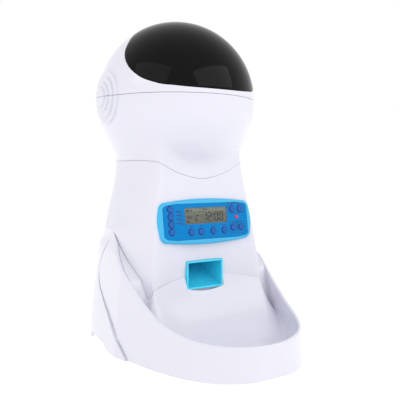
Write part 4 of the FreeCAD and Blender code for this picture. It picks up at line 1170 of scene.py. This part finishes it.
class FEEDER_OT_body(bpy.types.Operator):
    """Column, rear housing and battery cover"""

    bl_idname = "feeder.body"
    bl_label = "Body"

    def execute(self, context):
        skin = context.scene.feeder_sizes.skin / MM
        white = finish("white_plastic")
        column = new_piece("column", *column_mesh(skin), "housing", ["body_shell"], white, "white_plastic")
        low, high = BOX["battery_door"][0, 2], BOX["battery_door"][1, 2]
        door = corner_box(-53.4, 53.4, 50, 110, low + 5.0, high + 0.4)
        jack = [BOX["dc_jack"][0] - [0.15, 0, 0.15], BOX["dc_jack"][1] + [0.15, 0, 0.15]]
        jack_hole = corner_box(jack[0][0], jack[1][0], 50, 110, jack[0][2], jack[1][2])
        chute = corner_box(-CHUTE_HALF - 0.2, CHUTE_HALF + 0.2, -80, -45, CHUTE_LOW - 0.2, CHUTE_HIGH + 0.2)
        wide_slot, tall_slot = panel_box(52.0, 14.5), panel_box(47.5, 18.6)
        cut_boxes(column, [wide_slot, tall_slot, chute, door, jack_hole])
        rear = new_piece("rear_housing", *rear_mesh(), "housing", [], white, "white_plastic")
        cut_boxes(rear, [door, jack_hole])
        new_piece("battery_cover", *door_mesh(), "door", ["battery_door"], white, "white_plastic")
        return {"FINISHED"}


class FEEDER_OT_tray(bpy.types.Operator):
    """Winged food tray"""

    bl_idname = "feeder.tray"
    bl_label = "Food tray"

    def execute(self, context):
        sizes = context.scene.feeder_sizes
        new_piece("food_tray", *tray_mesh(sizes.rim / MM, sizes.fillet / MM), "tray", ["bowl_tray"],
                  finish("white_plastic"), "white_plastic", 40.0)
        return {"FINISHED"}


class FEEDER_OT_panel(bpy.types.Operator):
    """Panel frame, its printing with painted shade rings round the keys, and the figures of the display"""

    bl_idname = "feeder.panel"
    bl_label = "Panel"

    def execute(self, context):
        new_piece("bezel", *bezel_mesh(), "housing", ["panel_bezel"], finish("sky_blue"), "sky_blue")
        # The print and the painted shade rings round the keys, as one piece.
        points, faces = joined(*print_and_key_shade_marks())
        new_piece("panel_print_and_key_shade", on_panel(points), faces, "housing", [], finish("printed_blue"),
                  "panel_blue")
        points, faces = joined(*clock_bars(0.0, 5.6))
        new_piece("display_figures", on_panel(points), faces, "housing", [], finish("display_ink"),
                  "chip_black")
        return {"FINISHED"}


class FEEDER_OT_keys(bpy.types.Operator):
    """Twelve round keys, each on its own body"""

    bl_idname = "feeder.keys"
    bl_label = "Keys"

    def execute(self, context):
        radius = context.scene.feeder_sizes.key / MM
        for name, (u, v) in KEYS.items():
            new_piece(name + "_cap", *key_cap_mesh(u, v, radius), name, [name], finish("key_blue"),
                      "key_blue")
        return {"FINISHED"}


class FEEDER_OT_chute(bpy.types.Operator):
    """Blue food chute"""

    bl_idname = "feeder.chute"
    bl_label = "Chute"

    def execute(self, context):
        new_piece("chute", *chute_mesh(), "housing", ["food_chute"], finish("chute_blue"), "chute_blue")
        return {"FINISHED"}


class FEEDER_OT_workings(bpy.types.Operator):
    """Finishes of the parts that keep their modelled shape"""

    bl_idname = "feeder.workings"
    bl_label = "Workings"

    def execute(self, context):
        for row in frame["record"]["subparts"]:
            mesh = frame["nodes"][row["node"]].data
            mesh.materials.clear()
            mesh.materials.append(finish(row["material_slot"]))
        return {"FINISHED"}


class FEEDER_OT_stage(bpy.types.Operator):
    """Floor, soft boxes, surround and camera"""

    bl_idname = "feeder.stage"
    bl_label = "Stage"

    def execute(self, context):
        settings = context.scene.feeder_stage
        mesh = bpy.data.meshes.new("floor")
        turn = np.arange(96) / 96 * TAU
        reach = 8.0
        ring = np.stack([reach * np.cos(turn), reach * np.sin(turn), np.full(96, -0.0003)], -1)
        mesh.from_pydata(ring.tolist(), [], [list(range(96))])
        floor = bpy.data.objects.new("floor", mesh)
        glow = {"Emission Color": (1, 1, 1, 1), "Emission Strength": 0.9, "Specular IOR Level": 0.0}
        mesh.materials.append(moulded("floor_white", (0.3, 0.3, 0.3), 0.8, 0.05, 0.004, 40.0, 0.01, glow))
        context.scene.collection.objects.link(floor)
        world = bpy.data.worlds.new("surround")
        world.use_nodes = True
        sky_over_horizon(world.node_tree, settings.sky, settings.ceiling)
        context.scene.world = world
        context.scene.view_settings.view_transform = "Standard"
        for name, place, aim, width, height, power in SOFT_BOXES:
            soft_box(context, name, place, aim, width, height, power * settings.lamps)
        lens = bpy.data.cameras.new("camera")
        lens.sensor_width = 36.0
        lens.lens = settings.lens
        camera = bpy.data.objects.new("camera", lens)
        sin_a, cos_a = math.sin(settings.turn), math.cos(settings.turn)
        sin_t, cos_t = math.sin(settings.tilt), math.cos(settings.tilt)
        place = [settings.place[0], settings.place[1] + AXIS_Y * MM, settings.place[2]]
        axes = [(cos_a, -sin_a, 0), (sin_a * sin_t, cos_a * sin_t, cos_t),
                (-sin_a * cos_t, -cos_a * cos_t, sin_t), place]
        camera.matrix_world = Matrix([(*row, 0) for row in axes[:3]] + [(*place, 1)]).transposed()
        context.scene.collection.objects.link(camera)
        context.scene.camera = camera
        return {"FINISHED"}


def sky_over_horizon(tree, horizon, ceiling):
    """White near the horizon, fading to a dim ceiling above it, by the height of the direction."""
    coords = tree.nodes.new("ShaderNodeTexCoord")
    split = tree.nodes.new("ShaderNodeSeparateXYZ")
    fade = tree.nodes.new("ShaderNodeMapRange")
    fade.interpolation_type = "SMOOTHSTEP"
    fade.inputs["From Min"].default_value = 0.32
    fade.inputs["From Max"].default_value = 0.5
    fade.inputs["To Min"].default_value = horizon
    fade.inputs["To Max"].default_value = ceiling
    tree.links.new(coords.outputs["Generated"], split.inputs["Vector"])
    tree.links.new(split.outputs["Z"], fade.inputs["Value"])
    tree.links.new(fade.outputs["Result"], tree.nodes["Background"].inputs["Strength"])
    tree.nodes["Background"].inputs["Color"].default_value = (1.0, 1.0, 1.0, 1)


# Soft boxes: name, place, point lit, width, height, watts.
SOFT_BOXES = [
    ("left_box", (-1.02, -0.36, 0.95), (0, 0, 0.25), 1.15, 0.62, 1.8),
    ("right_box", (0.56, -0.98, 0.86), (0, 0, 0.25), 1.35, 0.6, 3.4),
]


def soft_box(context, name, place, aim, width, height, power):
    """A rectangular lamp at a place, turned to face a point."""
    lamp = bpy.data.lights.new(name, "AREA")
    lamp.shape = "RECTANGLE"
    lamp.size, lamp.size_y, lamp.energy = width, height, power
    box = bpy.data.objects.new(name, lamp)
    away = np.array(place, float) - np.array(aim, float)
    away /= np.linalg.norm(away)
    right = np.cross([0, 0, 1], away)
    right = right / np.linalg.norm(right) if np.linalg.norm(right) > 1e-6 else np.array([1.0, 0, 0])
    up = np.cross(away, right)
    box.matrix_world = Matrix([(*right, 0), (*up, 0), (*away, 0), (*place, 1)]).transposed()
    context.scene.collection.objects.link(box)


class FEEDER_PT_panel(bpy.types.Panel):
    """Sizes, colours and the steps that build the feeder"""

    bl_label = "Feeder"
    bl_idname = "FEEDER_PT_panel"
    bl_space_type = "VIEW_3D"
    bl_region_type = "UI"
    bl_category = "Feeder"

    def draw(self, context):
        for group in (context.scene.feeder_sizes, context.scene.feeder_finish, context.scene.feeder_stage):
            box = self.layout.box()
            for name in group.bl_rna.properties.keys():
                if name not in ("rna_type", "name"):
                    box.prop(group, name)
        for step in STEPS:
            self.layout.operator(step.bl_idname)


GROUPS = (FeederSizes, FeederFinish, FeederStage)
STEPS = (FEEDER_OT_stage, FEEDER_OT_workings, FEEDER_OT_head, FEEDER_OT_lid, FEEDER_OT_body,
         FEEDER_OT_tray, FEEDER_OT_panel,
         FEEDER_OT_keys, FEEDER_OT_chute)


def register():
    for group in GROUPS + STEPS + (FEEDER_PT_panel,):
        bpy.utils.register_class(group)
    bpy.types.Scene.feeder_sizes = PointerProperty(type=FeederSizes)
    bpy.types.Scene.feeder_finish = PointerProperty(type=FeederFinish)
    bpy.types.Scene.feeder_stage = PointerProperty(type=FeederStage)


def unregister():
    del bpy.types.Scene.feeder_sizes, bpy.types.Scene.feeder_finish, bpy.types.Scene.feeder_stage
    for group in reversed(GROUPS + STEPS + (FEEDER_PT_panel,)):
        bpy.utils.unregister_class(group)


def main():
    register()
    bpy.ops.feeder.stage()
    bpy.ops.feeder.workings()
    bpy.ops.feeder.head()
    bpy.ops.feeder.lid()
    bpy.ops.feeder.body()
    bpy.ops.feeder.tray()
    bpy.ops.feeder.panel()
    bpy.ops.feeder.keys()
    bpy.ops.feeder.chute()


if __name__ == "__main__":
    main()
